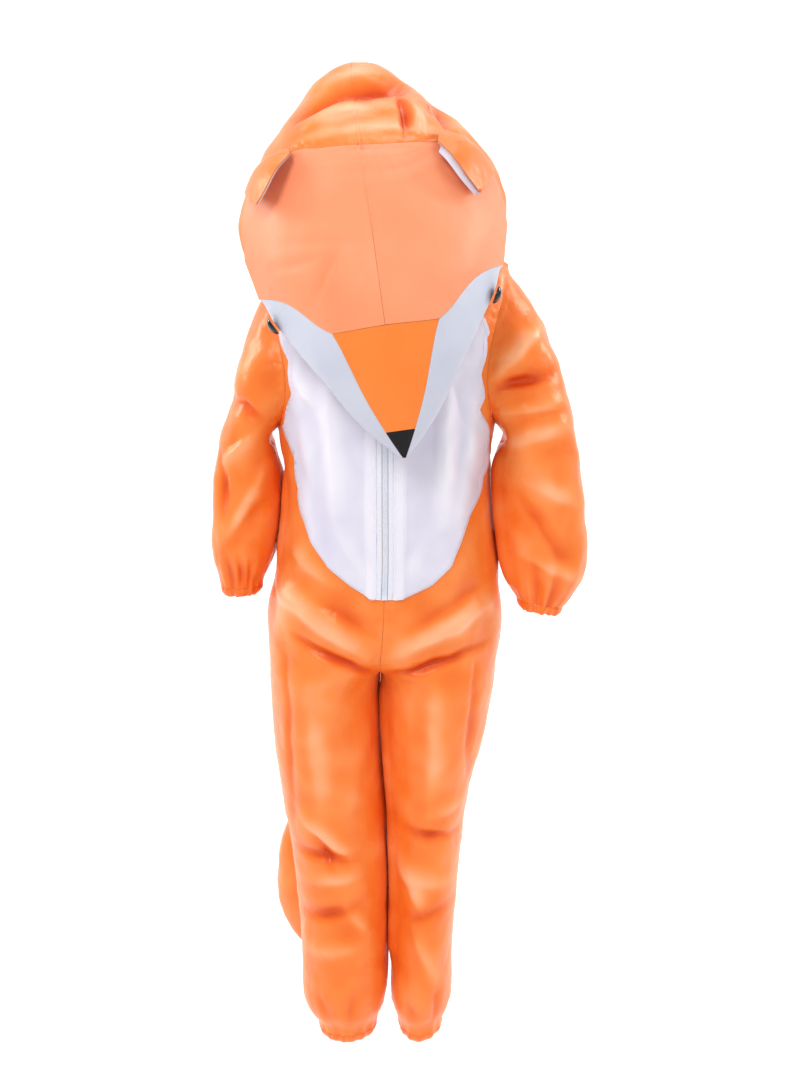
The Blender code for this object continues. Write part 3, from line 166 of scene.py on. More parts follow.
def moulded(name, look):
    # moulded plastic or enamel: nearly smooth, with the faintest ripple in its gloss
    made = bpy.data.materials.new(name)
    made.use_nodes = True
    tree = made.node_tree
    shader = tree.nodes["Principled BSDF"]
    shader.inputs["Roughness"].default_value = look["roughness"]
    shader.inputs["Coat Weight"].default_value = look["coat"]
    shader.inputs["IOR"].default_value = look["ior"]
    place = addNode(tree, "ShaderNodeTexCoord", {}).outputs["Object"]
    speck = addNode(tree, "ShaderNodeTexNoise", {"Vector": place, "Scale": perMetre(look["rippleMm"]),
                                                 "Detail": 2.0})
    ramp = addNode(tree, "ShaderNodeValToRGB", {"Fac": speck.outputs["Fac"]})
    for stop, code in zip(ramp.color_ramp.elements, look["colours"]):
        stop.color = linearColour(code)
    tree.links.new(ramp.outputs["Color"], shader.inputs["Base Color"])
    bump = addNode(tree, "ShaderNodeBump", {"Height": speck.outputs["Fac"], "Strength": look["ripple"],
                                            "Distance": 0.0004})
    tree.links.new(bump.outputs[0], shader.inputs["Normal"])
    return made


buttonLook = {"roughness": 0.08, "coat": 0.15, "ior": 1.49, "rippleMm": 5, "ripple": 0.03,
              "colours": ("#050505", "#0B0B0C")}
zincLook = {"roughness": 0.25, "coat": 0.4, "ior": 1.5, "rippleMm": 3, "ripple": 0.06,
            "colours": ("#DEDEE6", "#F2F2F7")}
nylonLook = {"roughness": 0.5, "coat": 0.0, "ior": 1.53, "rippleMm": 1.0, "ripple": 0.5,
             "colours": ("#D4D6E4", "#F4F4FA")}
threadLook = {"roughness": 0.6, "coat": 0.0, "ior": 1.5, "rippleMm": 0.5, "ripple": 0.4,
              "colours": ("#E0602A", "#F58A52")}
whiteThreadLook = dict(threadLook, colours=("#D6D2E0", "#F4F2F8"))
finishes["black_button"] = moulded("polished black acrylic", buttonLook)
finishes["white_enamelled_zinc"] = moulded("white enamelled zinc", zincLook)
finishes["white_nylon"] = moulded("white woven nylon tape", nylonLook)
finishes["thread"] = moulded("spun polyester thread", threadLook)
finishes["white_thread"] = moulded("white polyester thread", whiteThreadLook)
print("materials made:", len(finishes))

# Folds: each is a soft ridge or trough from one end to the other, seen from its own face, with a
# sharper far edge. Sizes are in millimetres.
foldLists = {
    "front": [
        (-118, -288, -26, -348, 11, 5), (-96, -252, -52, -278, 8, 3), (22, -346, 98, -310, 12, 5),
        (-88, -340, -8, -381, 5, -6), (2, -381, 96, -350, 5, -6), (-62, -300, -18, -324, 8, -3),
        (28, -324, 92, -290, 8, -3), (-101, -364, -99, -545, 4, -3), (-74, -396, -66, -530, 12, 3),
        (90, -372, 84, -500, 4, -3), (50, -398, 46, -520, 12, 3), (-84, -538, -40, -578, 7, 4),
        (-92, -578, -36, -584, 6, -5), (-72, -560, -58, -592, 5, -3), (-88, -612, -30, -602, 9, 3),
        (-92, -655, -38, -640, 7, -5), (-84, -664, -92, -690, 6, 3), (-40, -640, -20, -668, 6, 3),
        (-84, -694, -34, -684, 10, 2), (18, -552, 78, -560, 6, -5), (50, -530, 80, -522, 8, 3),
        (14, -588, 36, -640, 8, 3), (16, -604, 70, -612, 9, 2), (18, -655, 66, -640, 7, -3),
        (30, -668, 52, -730, 8, 3), (-72, -745, -66, -776, 6, -2), (-36, -738, -40, -776, 6, -2),
        (22, -745, 26, -776, 6, -2), (54, -738, 52, -776, 6, -2), (-60, -60, -50, -205, 9, 2),
        (62, -70, 50, -215, 9, 2), (72, -90, 88, -180, 8, 2), (-80, -120, -70, -230, 9, 2),
        (-100, -300, -112, -340, 9, 3), (100, -300, 112, -330, 9, 2), (-52, -70, -46, -200, 9, 2.5),
        (58, -80, 52, -215, 9, 2.5), (-86, -80, -64, -110, 8, 3), (-84, -150, -60, -230, 9, -2.5),
        (84, -120, 70, -220, 8, 2.5), (66, -90, 84, -140, 7, -2.5), (-40, -230, -18, -270, 8, 2),
        (36, -236, 18, -272, 8, 2)],
    "back": [
        (-85, -60, -30, -150, 11, 3), (85, -55, 30, -150, 11, 3), (-90, -200, -8, -240, 9, -4),
        (90, -205, 10, -242, 9, -4), (-100, -330, -14, -386, 8, -5), (100, -330, 14, -386, 8, -5),
        (-96, -420, -30, -400, 10, 3), (90, -425, 24, -402, 10, 3), (-92, -573, -20, -590, 7, -5),
        (74, -570, 18, -592, 7, -5), (-94, -622, -24, -606, 9, 3), (68, -624, 20, -608, 9, 3),
        (-84, -692, -30, -676, 8, -3), (60, -702, 16, -684, 8, -3), (-60, -745, -58, -776, 6, -2),
        (36, -745, 38, -776, 6, -2), (-60, -110, -20, -200, 9, -2), (56, -120, 24, -204, 9, -2),
        (-84, -290, -30, -340, 9, 3), (80, -292, 30, -344, 9, 3)],
    "sleeveFront": [
        (-166, -158, -165, -220, 5, -4), (-124, -120, -162, -98, 7, -5),
        (-118, -170, -158, -245, 7, 3), (-130, -140, -170, -175, 7, 3),
        (-126, -210, -170, -262, 7, -3), (110, -92, 162, -82, 6, -6), (116, -70, 164, -28, 9, 4),
        (122, -150, 194, -128, 8, 3), (134, -200, 184, -274, 8, -3), (120, -118, 178, -108, 7, 3),
        (150, -190, 200, -215, 8, 3), (140, -262, 196, -292, 7, 3), (-150, -268, -148, -300, 5, -3),
        (-138, -272, -140, -300, 4, -2), (-164, -266, -160, -300, 5, -3),
        (150, -285, 156, -325, 6, -3), (172, -285, 168, -325, 6, -3)],
    "sleeveBack": [
        (-120, -130, -168, -165, 8, -4), (-120, -200, -172, -215, 8, 3), (120, -120, 184, -150, 8, -4),
        (124, -195, 198, -205, 8, 3), (-126, -250, -170, -262, 7, -3), (136, -260, 196, -270, 7, -3),
        (-150, -268, -148, -300, 5, -3), (160, -285, 160, -325, 6, -3)],
    "hoodFront": [
        (-82, 163, -38, 182, 5, -6), (-38, 183, 16, 191, 6, -8), (-60, 198, -8, 208, 9, 5),
        (-66, 158, -4, 168, 9, 5), (15, 186, 18, 142, 5, -7), (28, 174, 31, 146, 5, 5),
        (42, 184, 84, 116, 6, -6), (-80, 139, -20, 150, 6, 3), (-20, 150, 44, 146, 6, 3),
        (58, 170, 76, 140, 7, 3)],
    "hoodBack": [
        (-80, 80, -20, 130, 12, 4), (85, 85, 20, 125, 12, 4), (-70, 25, -10, 50, 8, -5),
        (75, 35, 15, 52, 8, -5), (-90, 110, -60, 160, 9, 3), (96, 110, 60, 165, 9, 3),
        (-50, 60, 0, 84, 9, -3), (60, 66, 6, 86, 9, -3)],
    "forehead": [
        (-104, 20, -60, 34, 6, -1.2), (-62, -4, -40, 40, 5, -1.2), (-90, 44, -20, 52, 6, -1.0)],
}


foldLook = {"gain": 1.35, "wanderMm": 2.5, "wanderSize": 28, "sharpSide": 0.62, "softSide": 1.25, "tail": 1.6,
            "sideFade": 0.6}


def foldHeight(spot, facing, frontFolds, backFolds):
    # how far the folds push out a spot of the surface, in metres
    folds = frontFolds if facing.y < 0 else backFolds
    total = 0.0
    x, z = spot.x * 1000, spot.z * 1000
    wander = foldLook["wanderMm"] * noise.noise(Vector((x, spot.y * 1000, z)) / foldLook["wanderSize"])
    for x1, z1, x2, z2, width, height in folds:
        alongX, alongZ = x2 - x1, z2 - z1
        long = math.hypot(alongX, alongZ)
        share = ((x - x1) * alongX + (z - z1) * alongZ) / long ** 2
        if -0.6 < share < 1.6:
            across = ((z - z1) * alongX - (x - x1) * alongZ) / long + wander
            if abs(across) < 4 * width:
                narrow = width * foldLook["sharpSide" if across < 0 else "softSide"]
                over = max(-share, share - 1, 0) * long / (foldLook["tail"] * width)
                swell = 0.4 + 0.6 * math.sin(math.pi * min(max(share, 0), 1))
                total += height * swell * math.exp(-(across / narrow) ** 2 - over ** 2)
    return foldLook["gain"] * total / 1000 * abs(facing.y) ** foldLook["sideFade"]


def crumple(spot, size, seed):
    # uneven soft dents of about this size in metres, from -1 to 1
    at = spot / size + Vector((seed, seed * 0.7, seed * 1.3))
    return noise.noise(at) + 0.5 * noise.noise(at * 2.1)


def surfaceTree(nodeNames):
    made = bmesh.new()
    for nodeName in nodeNames:
        made.from_mesh(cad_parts[nodeName].data)
    tree = BVHTree.FromBMesh(made)
    made.free()
    return tree


headSurface = surfaceTree(("hood_left", "hood_right", "forehead_left", "forehead_right"))


def frontOfHead(x, z):
    # the foremost Y of the hood and forehead here; four rays, so that none slips through a seam
    around = ((-0.0012, 0), (0.0012, 0), (0, 0.0012), (0, -0.0012))
    starts = [Vector((x + side, -0.4, z + up)) for side, up in around]
    found = [headSurface.ray_cast(start, Vector((0, 1, 0)))[0] for start in starts]
    found = [hit.y for hit in found if hit]
    return min(found) if found else None


crownSeam = {"x": -0.004, "z": 0.152, "drop": 0.0165, "wide": 0.075, "above": 0.040, "below": 0.055,
             "still": 0.095, "fade": 0.035, "behind": -0.01, "sameSurface": 0.006}


def withLowerSeam(spot):
    # the pad's top seam is nearly level in the photo, so its middle slides down over the same surface
    if spot.y > crownSeam["behind"]:
        return spot
    reach = crownSeam["above"] if spot.z > crownSeam["z"] else crownSeam["below"]
    aside, above = (spot.x - crownSeam["x"]) / crownSeam["wide"], (spot.z - crownSeam["z"]) / reach
    share = math.exp(-aside ** 2 - above ** 2) * smooth((crownSeam["still"] - abs(spot.x)) / crownSeam["fade"])
    lower = spot.z - crownSeam["drop"] * share
    before, after = frontOfHead(spot.x, spot.z), frontOfHead(spot.x, lower)
    if before is None or after is None or abs(before - spot.y) > crownSeam["sameSurface"]:
        return spot
    return Vector((spot.x, spot.y + after - before, lower))


wallEdge = 0.00135    # every edge over a CAD wall's rim is shorter than this


rimTurn = 0.9         # a sheet bends less than this from face to face, and its rim more


def joinedGroups(faces, turn):
    # faces gathered into the groups that edges of less than this turn join, the largest first
    left = dict.fromkeys(faces)    # unlike a set, it keeps the same order in each run
    groups = []
    while left:
        group = [left.popitem()[0]]
        for face in group:
            for edge in face.edges:
                if edge.calc_face_angle(0) < turn:
                    for other in edge.link_faces:
                        if other in left:
                            left.pop(other)
                            group.append(other)
        groups.append(group)
    return sorted(groups, key=lambda group: -sum(face.calc_area() for face in group))


def mergedCopy(nodeName):
    made = bmesh.new()
    made.from_mesh(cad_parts[nodeName].data)
    bmesh.ops.remove_doubles(made, verts=made.verts, dist=1e-6)
    return made


def withTips(sheet, other, faces):
    # the narrow faces at a sheet's tips, which the rim's test left out
    sheet, across = set(sheet), {vert for face in other for vert in face.verts}
    waiting = [face for face in faces if face not in sheet and not across.intersection(face.verts)]
    found = True
    while found:
        found = [face for face in waiting
                 if any(edge.calc_face_angle(9) < rimTurn and sheet.intersection(edge.link_faces)
                        for edge in face.edges)]
        sheet.update(found)
        waiting = [face for face in waiting if face not in sheet]
    return sheet


def outerSheet(nodeName):
    # the outer face of a walled CAD node as an open sheet, without its rim and inner face
    made = mergedCopy(nodeName)
    wide = [face for face in made.faces if min(edge.calc_length() for edge in face.edges) > wallEdge]
    first, second = joinedGroups(wide, 9)[:2]
    lookup = KDTree(len(second))
    for index, face in enumerate(second):
        lookup.insert(face.calc_center_median(), index)
    lookup.balance()
    outward = 0.0
    for face in first:
        centre = face.calc_center_median()
        outward += face.normal.dot(centre - lookup.find(centre)[0])
    outer, inner = (first, second) if outward > 0 else (second, first)
    keep = withTips(outer, inner, made.faces)
    bmesh.ops.delete(made, geom=[face for face in made.faces if face not in keep], context="FACES")
    bmesh.ops.join_triangles(made, faces=made.faces, angle_face_threshold=math.radians(60),
                             angle_shape_threshold=math.radians(80))
    return made


def sheetObject(name, made):
    mesh = bpy.data.meshes.new(name)
    made.to_mesh(mesh)
    made.free()
    piece = bpy.data.objects.new(name, mesh)
    bpy.context.scene.collection.objects.link(piece)
    return piece


def edgeDistance(mesh, hem, partner):
    # distance of each point from the sheet's open edges, apart from its gathered hem and its partner's seam
    made = bmesh.new()
    made.from_mesh(mesh)
    border = [vert.co.copy() for vert in made.verts if vert.is_boundary]
    made.free()
    border = [spot for spot in border if not hem or not hemGather(spot, hem)[1]]
    border = [spot for spot in border if not partner or partner.find_nearest(spot)[3] > 0.0015]
    lookup = KDTree(len(border))
    for index, spot in enumerate(border):
        lookup.insert(spot, index)
    lookup.balance()
    return [lookup.find(vert.co)[2] for vert in mesh.vertices]


def hemFrame(nodeName):
    # centre, direction away from the garment, and start of a CAD cuff
    made = mergedCopy(nodeName)
    spots = [vert.co.copy() for vert in made.verts]
    made.free()
    centre = sum(spots, Vector()) / len(spots)
    ring = sorted(spots, key=lambda spot: math.atan2(spot.y - centre.y, spot.x - centre.x))
    away = Vector()
    for first, second in zip(ring, ring[1:] + ring[:1]):
        away -= (first - centre).cross(second - centre)
    away.normalize()
    start = min((spot - centre).dot(away) for spot in spots)
    return {"centre": centre, "away": away, "start": start, "edge": []}


hemLook = {"gather": 0.0024, "reach": 0.022, "turns": 4.2, "past": 0.004, "edge": -0.0008}
cuffs = ("wrist_cuff_left", "wrist_cuff_right", "ankle_cuff_left", "ankle_cuff_right")
hems = {node: hemFrame(node) for node in cuffs}


def hemTurn(spot, hem):
    spoke = spot - hem["centre"]
    spoke -= hem["away"] * spoke.dot(hem["away"])
    return math.atan2(spoke.y, spoke.x)


def gatherAt(turn, turns, seed):
    # uneven gathers round a hem, sharper in their valleys
    value = noise.noise(Vector((math.cos(turn) * turns, math.sin(turn) * turns, seed)))
    return 0.35 - abs(value) * 1.6


def hemGather(spot, hem):
    # how far the gathers of a hem push this spot out, and whether it is on the hem's edge
    height = (spot - hem["centre"]).dot(hem["away"]) - hem["start"]
    if height > hemLook["past"]:
        return 0.0, False
    strength = hemLook["gather"] * math.exp(min(height, 0) / hemLook["reach"])
    return strength * gatherAt(hemTurn(spot, hem), hemLook["turns"], 2.3), height > hemLook["edge"]


# Where limbs touch: the middle line of each narrow gap, as height and X, and how far it reaches
touching = {
    "legs": [(-0.390, -0.008), (-0.450, -0.006), (-0.548, 0.001), (-0.638, 0.003), (-0.740, 0.000)],
    "armRight": [(-0.165, -0.1035), (-0.209, -0.1065), (-0.240, -0.1095), (-0.272, -0.1165),
                 (-0.296, -0.1235)],
    "armLeft": [(-0.150, 0.1085), (-0.189, 0.1080), (-0.230, 0.1110), (-0.272, 0.1175), (-0.310, 0.1245)],
}


# The gap runs aslant, so nothing shows through it from the front, and opens again at its ends
gapLook = {"slant": 0.22, "fadeIn": 0.03, "fadeOut": 0.04, "deep": 0.030}


def closedGap(spot, line, reach, clear):
    # the spot moved sideways towards the line where two limbs touch
    if not line[-1][0] < spot.z < line[0][0]:
        return spot
    for (top, x1), (low, x2) in zip(line, line[1:]):
        if low <= spot.z <= top:
            middle = x1 + (x2 - x1) * (top - spot.z) / (top - low)
    middle += gapLook["slant"] * spot.y
    gap = abs(spot.x - middle) - clear
    ends = smooth((line[0][0] - spot.z) / gapLook["fadeIn"])
    ends *= smooth((spot.z - line[-1][0]) / gapLook["fadeOut"])
    share = ends * smooth(1.6 - max(gap, 0) / reach) * math.exp(-(spot.y / gapLook["deep"]) ** 2)
    return spot - Vector((math.copysign(gap * share, spot.x - middle), 0, 0))


def borderPoints(mesh):
    used = {}
    for face in mesh.polygons:
        for key in face.edge_keys:
            used[key] = used.get(key, 0) + 1
    return {point for key, count in used.items() if count == 1 for point in key}


def withCorners(made, turn):
    # the sheet's rim stays sharp where it turns by more than this
    crease = made.verts.layers.float.new("crease_vert")
    for vert in made.verts:
        rim = [edge.other_vert(vert).co - vert.co for edge in vert.link_edges if edge.is_boundary]
        if len(rim) == 2 and rim[0].angle(rim[1]) < math.pi - turn:
            vert[crease] = 1.0
    return made


seamLook = {"band": 0.018, "puckerSize": 0.0055, "rise": 0.003, "fall": 0.014, "plain": 0.42,
            "fullShade": 0.004}
zipLook = {"flat": 0.009, "fade": 0.012, "below": 0.01}


def foldedSheet(name, nodeName, look):
    # a panel grown from its CAD node: finer, with its folds and puckers
    piece = sheetObject(name, withCorners(outerSheet(nodeName), look["cornerTurn"]))
    finer = piece.modifiers.new("finer", "SUBSURF")
    finer.levels = finer.render_levels = look["levels"]
    finer.boundary_smooth = "PRESERVE_CORNERS"
    plainMesh(piece)
    mesh = piece.data
    hem = hems.get(look.get("hem", "") + nodeName[nodeName.rfind("_"):])
    other = nodeName.replace("left", "right") if "left" in nodeName else nodeName.replace("right", "left")
    far = edgeDistance(mesh, hem, surfaceTree((other,)) if look.get("foldsFrom") else None)
    border = borderPoints(mesh)
    frontFolds, backFolds = foldLists.get(look["front"], []), foldLists.get(look["back"], [])
    normals = [vert.normal.copy() for vert in mesh.vertices]
    depth = mesh.attributes.new("depth", "FLOAT", "POINT")
    for index, vert in enumerate(mesh.vertices):
        spot, facing = vert.co.copy(), normals[index]
        if look.get("slides"):
            spot = withLowerSeam(spot)
        if look.get("foldsFrom"):
            facing = (spot - look["foldsFrom"]).normalized()
        hold = smooth(far[index] / look["seamHold"])
        if look.get("flatAtZip") and facing.y < 0 and spot.z > zipEnd - zipLook["below"]:
            hold *= smooth((abs(spot.x - zipCentre(spot.z)) - zipLook["flat"]) / zipLook["fade"])
        folds = foldHeight(spot, facing, frontFolds, backFolds)
        soft = look["dent"] * crumple(spot, look["dentSize"], 3.1)
        pucker = 0.0
        if far[index] < seamLook["band"] and look["pucker"]:
            nearSeam = smooth((seamLook["band"] - far[index]) / seamLook["fall"])
            nearSeam *= smooth(far[index] / seamLook["rise"])
            pucker = look["pucker"] * nearSeam * noise.noise(spot / seamLook["puckerSize"])
        move = (folds + soft) * hold + pucker
        if hem:
            gather, atEdge = hemGather(spot, hem)
            move += gather
            if atEdge and index in border and look["finish"] == "orange_satin":
                hem["edge"].append(spot + facing * move)
        vert.co = spot + facing * move
        for gap, reach, clear in look.get("touching", ()):
            vert.co = closedGap(vert.co, touching[gap], reach, clear)
        # painted shade and highlight: points pushed in are painted darker, points pushed out lighter
        depth.data[index].value = seamLook["plain"] + look["shade"] * move / seamLook["fullShade"]
    return piece


def finished(piece, look):
    # the sheet given its wall inwards and its satin
    wall = piece.modifiers.new("wall", "SOLIDIFY")
    wall.thickness = look["thickness"]
    wall.offset = -1
    wall.use_even_offset = False
    plainMesh(piece)
    piece.data.materials.clear()
    piece.data.materials.append(finishes[look["finish"]])
    piece.data.shade_smooth()
    piece.data.set_sharp_from_angle(angle=math.radians(60))
    return piece


def clothPiece(name, nodeName, look):
    return finished(foldedSheet(name, nodeName, look), look)


def tummyOutline(nodeName):
    # the edge of the CAD tummy's outer face as one smooth closed loop of X and Z
    made = mergedCopy(nodeName)
    keep = set(joinedGroups([face for face in made.faces if face.normal.y < 0], 0.8)[0])
    bmesh.ops.delete(made, geom=[face for face in made.faces if face not in keep], context="FACES")
    border = dict.fromkeys(edge for edge in made.edges if edge.is_boundary)
    loops = []
    while border:
        edge = border.popitem()[0]
        loop, spot = [edge.verts[0]], edge.verts[1]
        while spot is not loop[0]:
            loop.append(spot)
            edge = next(other for other in spot.link_edges if other in border)
            border.pop(edge)
            spot = edge.other_vert(spot)
        loops.append([Vector((vert.co.x, vert.co.z)) for vert in loop])
    made.free()
    outline = max(loops, key=len)
    count = len(outline)
    corners = [(spot - outline[i - 1]).angle(outline[(i + 1) % count] - spot, 0.0) > 1.0
               for i, spot in enumerate(outline)]
    curve = []
    for i in range(count):
        start, end = outline[i], outline[(i + 1) % count]
        before = start if corners[i] else outline[i - 1]
        after = end if corners[(i + 1) % count] else outline[(i + 2) % count]
        for step in range(8):
            t = step / 8
            square, cube = 2 * before - 5 * start + 4 * end - after, 3 * start - before - 3 * end + after
            curve.append(0.5 * (2 * start + (end - before) * t + square * t ** 2 + cube * t ** 3))
    return [wavyEdge(spot, nodeName) for spot in curve]


waves = {"tummy_right": {"height": -0.1126, "long": 0.063}, "tummy_left": {"height": -0.0955, "long": 0.070},
         "out": 0.0034, "tapeOverlap": 0.0011, "zipEdge": 0.0105, "plain": 0.03, "low": -0.235, "fade": 0.05}


def wavyEdge(spot, nodeName):
    # the white satin's loose edge ripples at the sides, and its zip edge laps over the tape
    away = spot.x - zipCentre(spot.y)
    if abs(away) < waves["zipEdge"]:
        return spot.x - math.copysign(waves["tapeOverlap"], away), spot.y
    fade = smooth(abs(away) / waves["plain"] - 1) * smooth((spot.y - waves["low"]) / waves["fade"])
    wave = math.cos(2 * math.pi * (spot.y - waves[nodeName]["height"]) / waves[nodeName]["long"])
    return spot.x + math.copysign(waves["out"] * fade * wave, away), spot.y


def isInside(x, z, outline):
    inside = False
    for (x1, z1), (x2, z2) in zip(outline, outline[1:] + outline[:1]):
        if (z1 > z) != (z2 > z) and x < x1 + (z - z1) * (x2 - x1) / (z2 - z1):
            inside = not inside
    return inside


def nearestOnOutline(x, z, outline):
    spot, best = Vector((x, z)), None
    for first, second in zip(outline, outline[1:] + outline[:1]):
        start, along = Vector(first), Vector(second) - Vector(first)
        share = min(max((spot - start).dot(along) / max(along.length_squared, 1e-12), 0), 1)
        found = start + along * share
        if best is None or (found - spot).length < (best - spot).length:
            best = found
    return best


zipSpots = [vert.co.copy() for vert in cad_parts["zip_teeth"].data.vertices]
zipTop, zipEnd = max(spot.z for spot in zipSpots), min(spot.z for spot in zipSpots)


zipCentres = {}


def zipCentre(height):
    # the zip's middle at this height, kept for each 2 mm
    height = round(min(max(height, zipEnd), zipTop) * 500) / 500
    if height not in zipCentres:
        near = [spot.x for spot in zipSpots if abs(spot.z - height) < 0.016]
        zipCentres[height] = (max(near) + min(near)) / 2
    return zipCentres[height]


welt = {"inner": 0.0066, "rise": 0.0012, "outer": 0.0198, "fall": 0.0016, "height": 0.0010, "brighter": 0.22}


def tummyPiece(name, side, look):
    # the white front lies on the orange panel, so it is the panel's own folded sheet cut to its outline
    outline = tummyOutline("tummy_" + side)
    piece = foldedSheet(name, "front_" + side, look)
    made = bmesh.new()
    made.from_mesh(piece.data)
    sheet = BVHTree.FromBMesh(made)
    spots = {face: face.calc_center_median() for face in made.faces}
    outside = [face for face, spot in spots.items()
               if face.normal.y > 0.3 or not isInside(spot.x, spot.z, outline)]
    bmesh.ops.delete(made, geom=outside, context="FACES")
    pinched = dict.fromkeys(vert.link_faces[0] for vert in made.verts
                            if vert.is_boundary and len(vert.link_faces) == 1)
    bmesh.ops.delete(made, geom=list(pinched), context="FACES")
    for vert in made.verts:
        if vert.is_boundary:
            found = nearestOnOutline(vert.co.x, vert.co.z, outline)
            hit = sheet.ray_cast(Vector((found.x, -0.4, found.y)), Vector((0, 1, 0)))[0]
            if hit and (hit - vert.co).length < look["edgeReach"]:
                vert.co = hit
    bmesh.ops.remove_doubles(made, verts=made.verts, dist=1e-4)
    made.normal_update()
    depth = made.verts.layers.float["depth"]
    for vert in made.verts:
        away = abs(vert.co.x - zipCentre(vert.co.z))
        raised = smooth((away - welt["inner"]) / welt["rise"]) * smooth((welt["outer"] - away) / welt["fall"])
        vert.co += vert.normal * (look["lift"] + welt["height"] * raised)
        # the raised welts beside the zip are given painted highlight
        vert[depth] += welt["brighter"] * raised
    made.to_mesh(piece.data)
    made.free()
    return finished(piece, look)


cuffLook = {"rows": 7, "gap": 0.0003, "width": 0.0092, "inward": 0.0042, "bulge": 0.0014, "fine": 0.0009,
            "fineTurns": 11}


def gatheredCuff(name, nodeName, look):
    # the hem's narrow elastic channel, which carries on from the gathers above it
    hem = hems[nodeName]
    edge = sorted(hem["edge"], key=lambda spot: hemTurn(spot, hem))
    made = bmesh.new()
    rings = []
    for row in range(cuffLook["rows"]):
        share = row / (cuffLook["rows"] - 1)
        ring = []
        for spot in edge:
            spoke = spot - hem["centre"]
            spoke = (spoke - hem["away"] * spoke.dot(hem["away"])).normalized()
            turn = hemTurn(spot, hem)
            wave = cuffLook["fine"] * gatherAt(turn, cuffLook["fineTurns"], 5.1) * math.sin(math.pi * share)
            out = cuffLook["bulge"] * math.sin(math.pi * share) - cuffLook["inward"] * share + wave
            down = cuffLook["gap"] + cuffLook["width"] * share
            ring.append(made.verts.new(spot + hem["away"] * down + spoke * out))
        rings.append(ring)
    for upper, lower in zip(rings, rings[1:]):
        for first in range(len(upper)):
            second = (first + 1) % len(upper)
            made.faces.new((upper[first], upper[second], lower[second], lower[first]))
    bmesh.ops.recalc_face_normals(made, faces=made.faces)
    face = next(iter(made.faces))
    if face.normal.dot(face.calc_center_median() - hem["centre"]) < 0:
        bmesh.ops.reverse_faces(made, faces=made.faces)
    piece = sheetObject(name, made)
    # painted shade and highlight: gathers painted darker in their valleys and lighter on their crests
    depth = piece.data.attributes.new("depth", "FLOAT", "POINT")
    for value, vert in zip(depth.data, piece.data.vertices):
        value.value = 0.36 + 0.2 * gatherAt(hemTurn(vert.co, hem), cuffLook["fineTurns"], 5.1)
    return finished(piece, look)


curl = {"move": Vector((-0.0042, -0.0012, -0.0042)), "from": 0.105, "over": 0.04}


def earLining(name, nodeName, look):
    # the left ear's lining shows as a white band past the free edge of its orange back
    piece = foldedSheet(name, nodeName, look)
    made = bmesh.new()
    made.from_mesh(piece.data)
    for vert in [vert for vert in made.verts if vert.is_boundary and nodeName.endswith("left")]:
        inner = [edge.other_vert(vert).co for edge in vert.link_edges if not edge.is_boundary]
        if inner and (vert.co - inner[0]).normalized().y < -0.5:
            vert.co += curl["move"] * (0.4 + 0.6 * smooth((curl["from"] - vert.co.x) / curl["over"]))
    made.to_mesh(piece.data)
    made.free()
    return finished(piece, look)


suitLook = {"levels": 3, "cornerTurn": 0.6, "thickness": 0.0010, "seamHold": 0.012, "dent": 0.0016,
            "dentSize": 0.035, "pucker": 0.0008, "shade": 0.26, "finish": "orange_satin", "front": "front",
            "back": "back"}
armGaps = (("armRight", 0.009, 0.0007), ("armLeft", 0.009, 0.0007))
bodyLook = dict(suitLook, hem="ankle_cuff", touching=(("legs", 0.010, 0.0007),) + armGaps)
sleeveLook = dict(suitLook, front="sleeveFront", back="sleeveBack", dent=0.0020, hem="wrist_cuff",
                  touching=armGaps)
hoodLook = dict(suitLook, front="hoodFront", back="hoodBack", dent=0.0018, slides=True,
                foldsFrom=Vector((0, 0.03, 0.09)))
cuffSatin = dict(suitLook, levels=2)
tummyLook = dict(bodyLook, flatAtZip=True, finish="white_satin", thickness=0.0008, lift=0.0015, edgeReach=0.011)
earLook = dict(suitLook, levels=2, seamHold=0.006, dent=0.0004, dentSize=0.012, front="", back="",
               thickness=0.0008)
liningLook = dict(earLook, finish="white_satin")
clothPieces = {
    "front": {"look": dict(bodyLook, flatAtZip=True), "flat": (0.24, 0.88), "area": 0.138},
    "back": {"look": bodyLook, "flat": (0.24, 0.88), "area": 0.139},
    "sleeve": {"look": sleeveLook, "flat": (0.34, 0.34), "area": 0.072},
    "hood": {"look": hoodLook, "flat": (0.28, 0.34), "area": 0.056},
    "wrist_cuff": {"look": cuffSatin, "flat": (0.24, 0.0105), "area": 0.0023, "make": gatheredCuff},
    "ankle_cuff": {"look": cuffSatin, "flat": (0.28, 0.0105), "area": 0.0027, "make": gatheredCuff},
    "tummy": {"look": tummyLook, "flat": (0.115, 0.30), "area": 0.0235, "make": tummyPiece},
    "ear_back": {"look": earLook, "flat": (0.075, 0.065), "area": 0.0036},
    "ear_lining": {"look": liningLook, "flat": (0.075, 0.065), "area": 0.0036, "make": earLining},
}
for kind, data in clothPieces.items():
    for side in ("left", "right"):
        node = kind + "_" + side
        make = data.get("make", clothPiece)
        piece = make(node.replace("_", "") + "Cloth", side if make is tummyPiece else node, data["look"])
        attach(piece, "suit")
        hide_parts(node)
    print(kind, "made:", len(piece.data.polygons), "faces each")

# The padded face

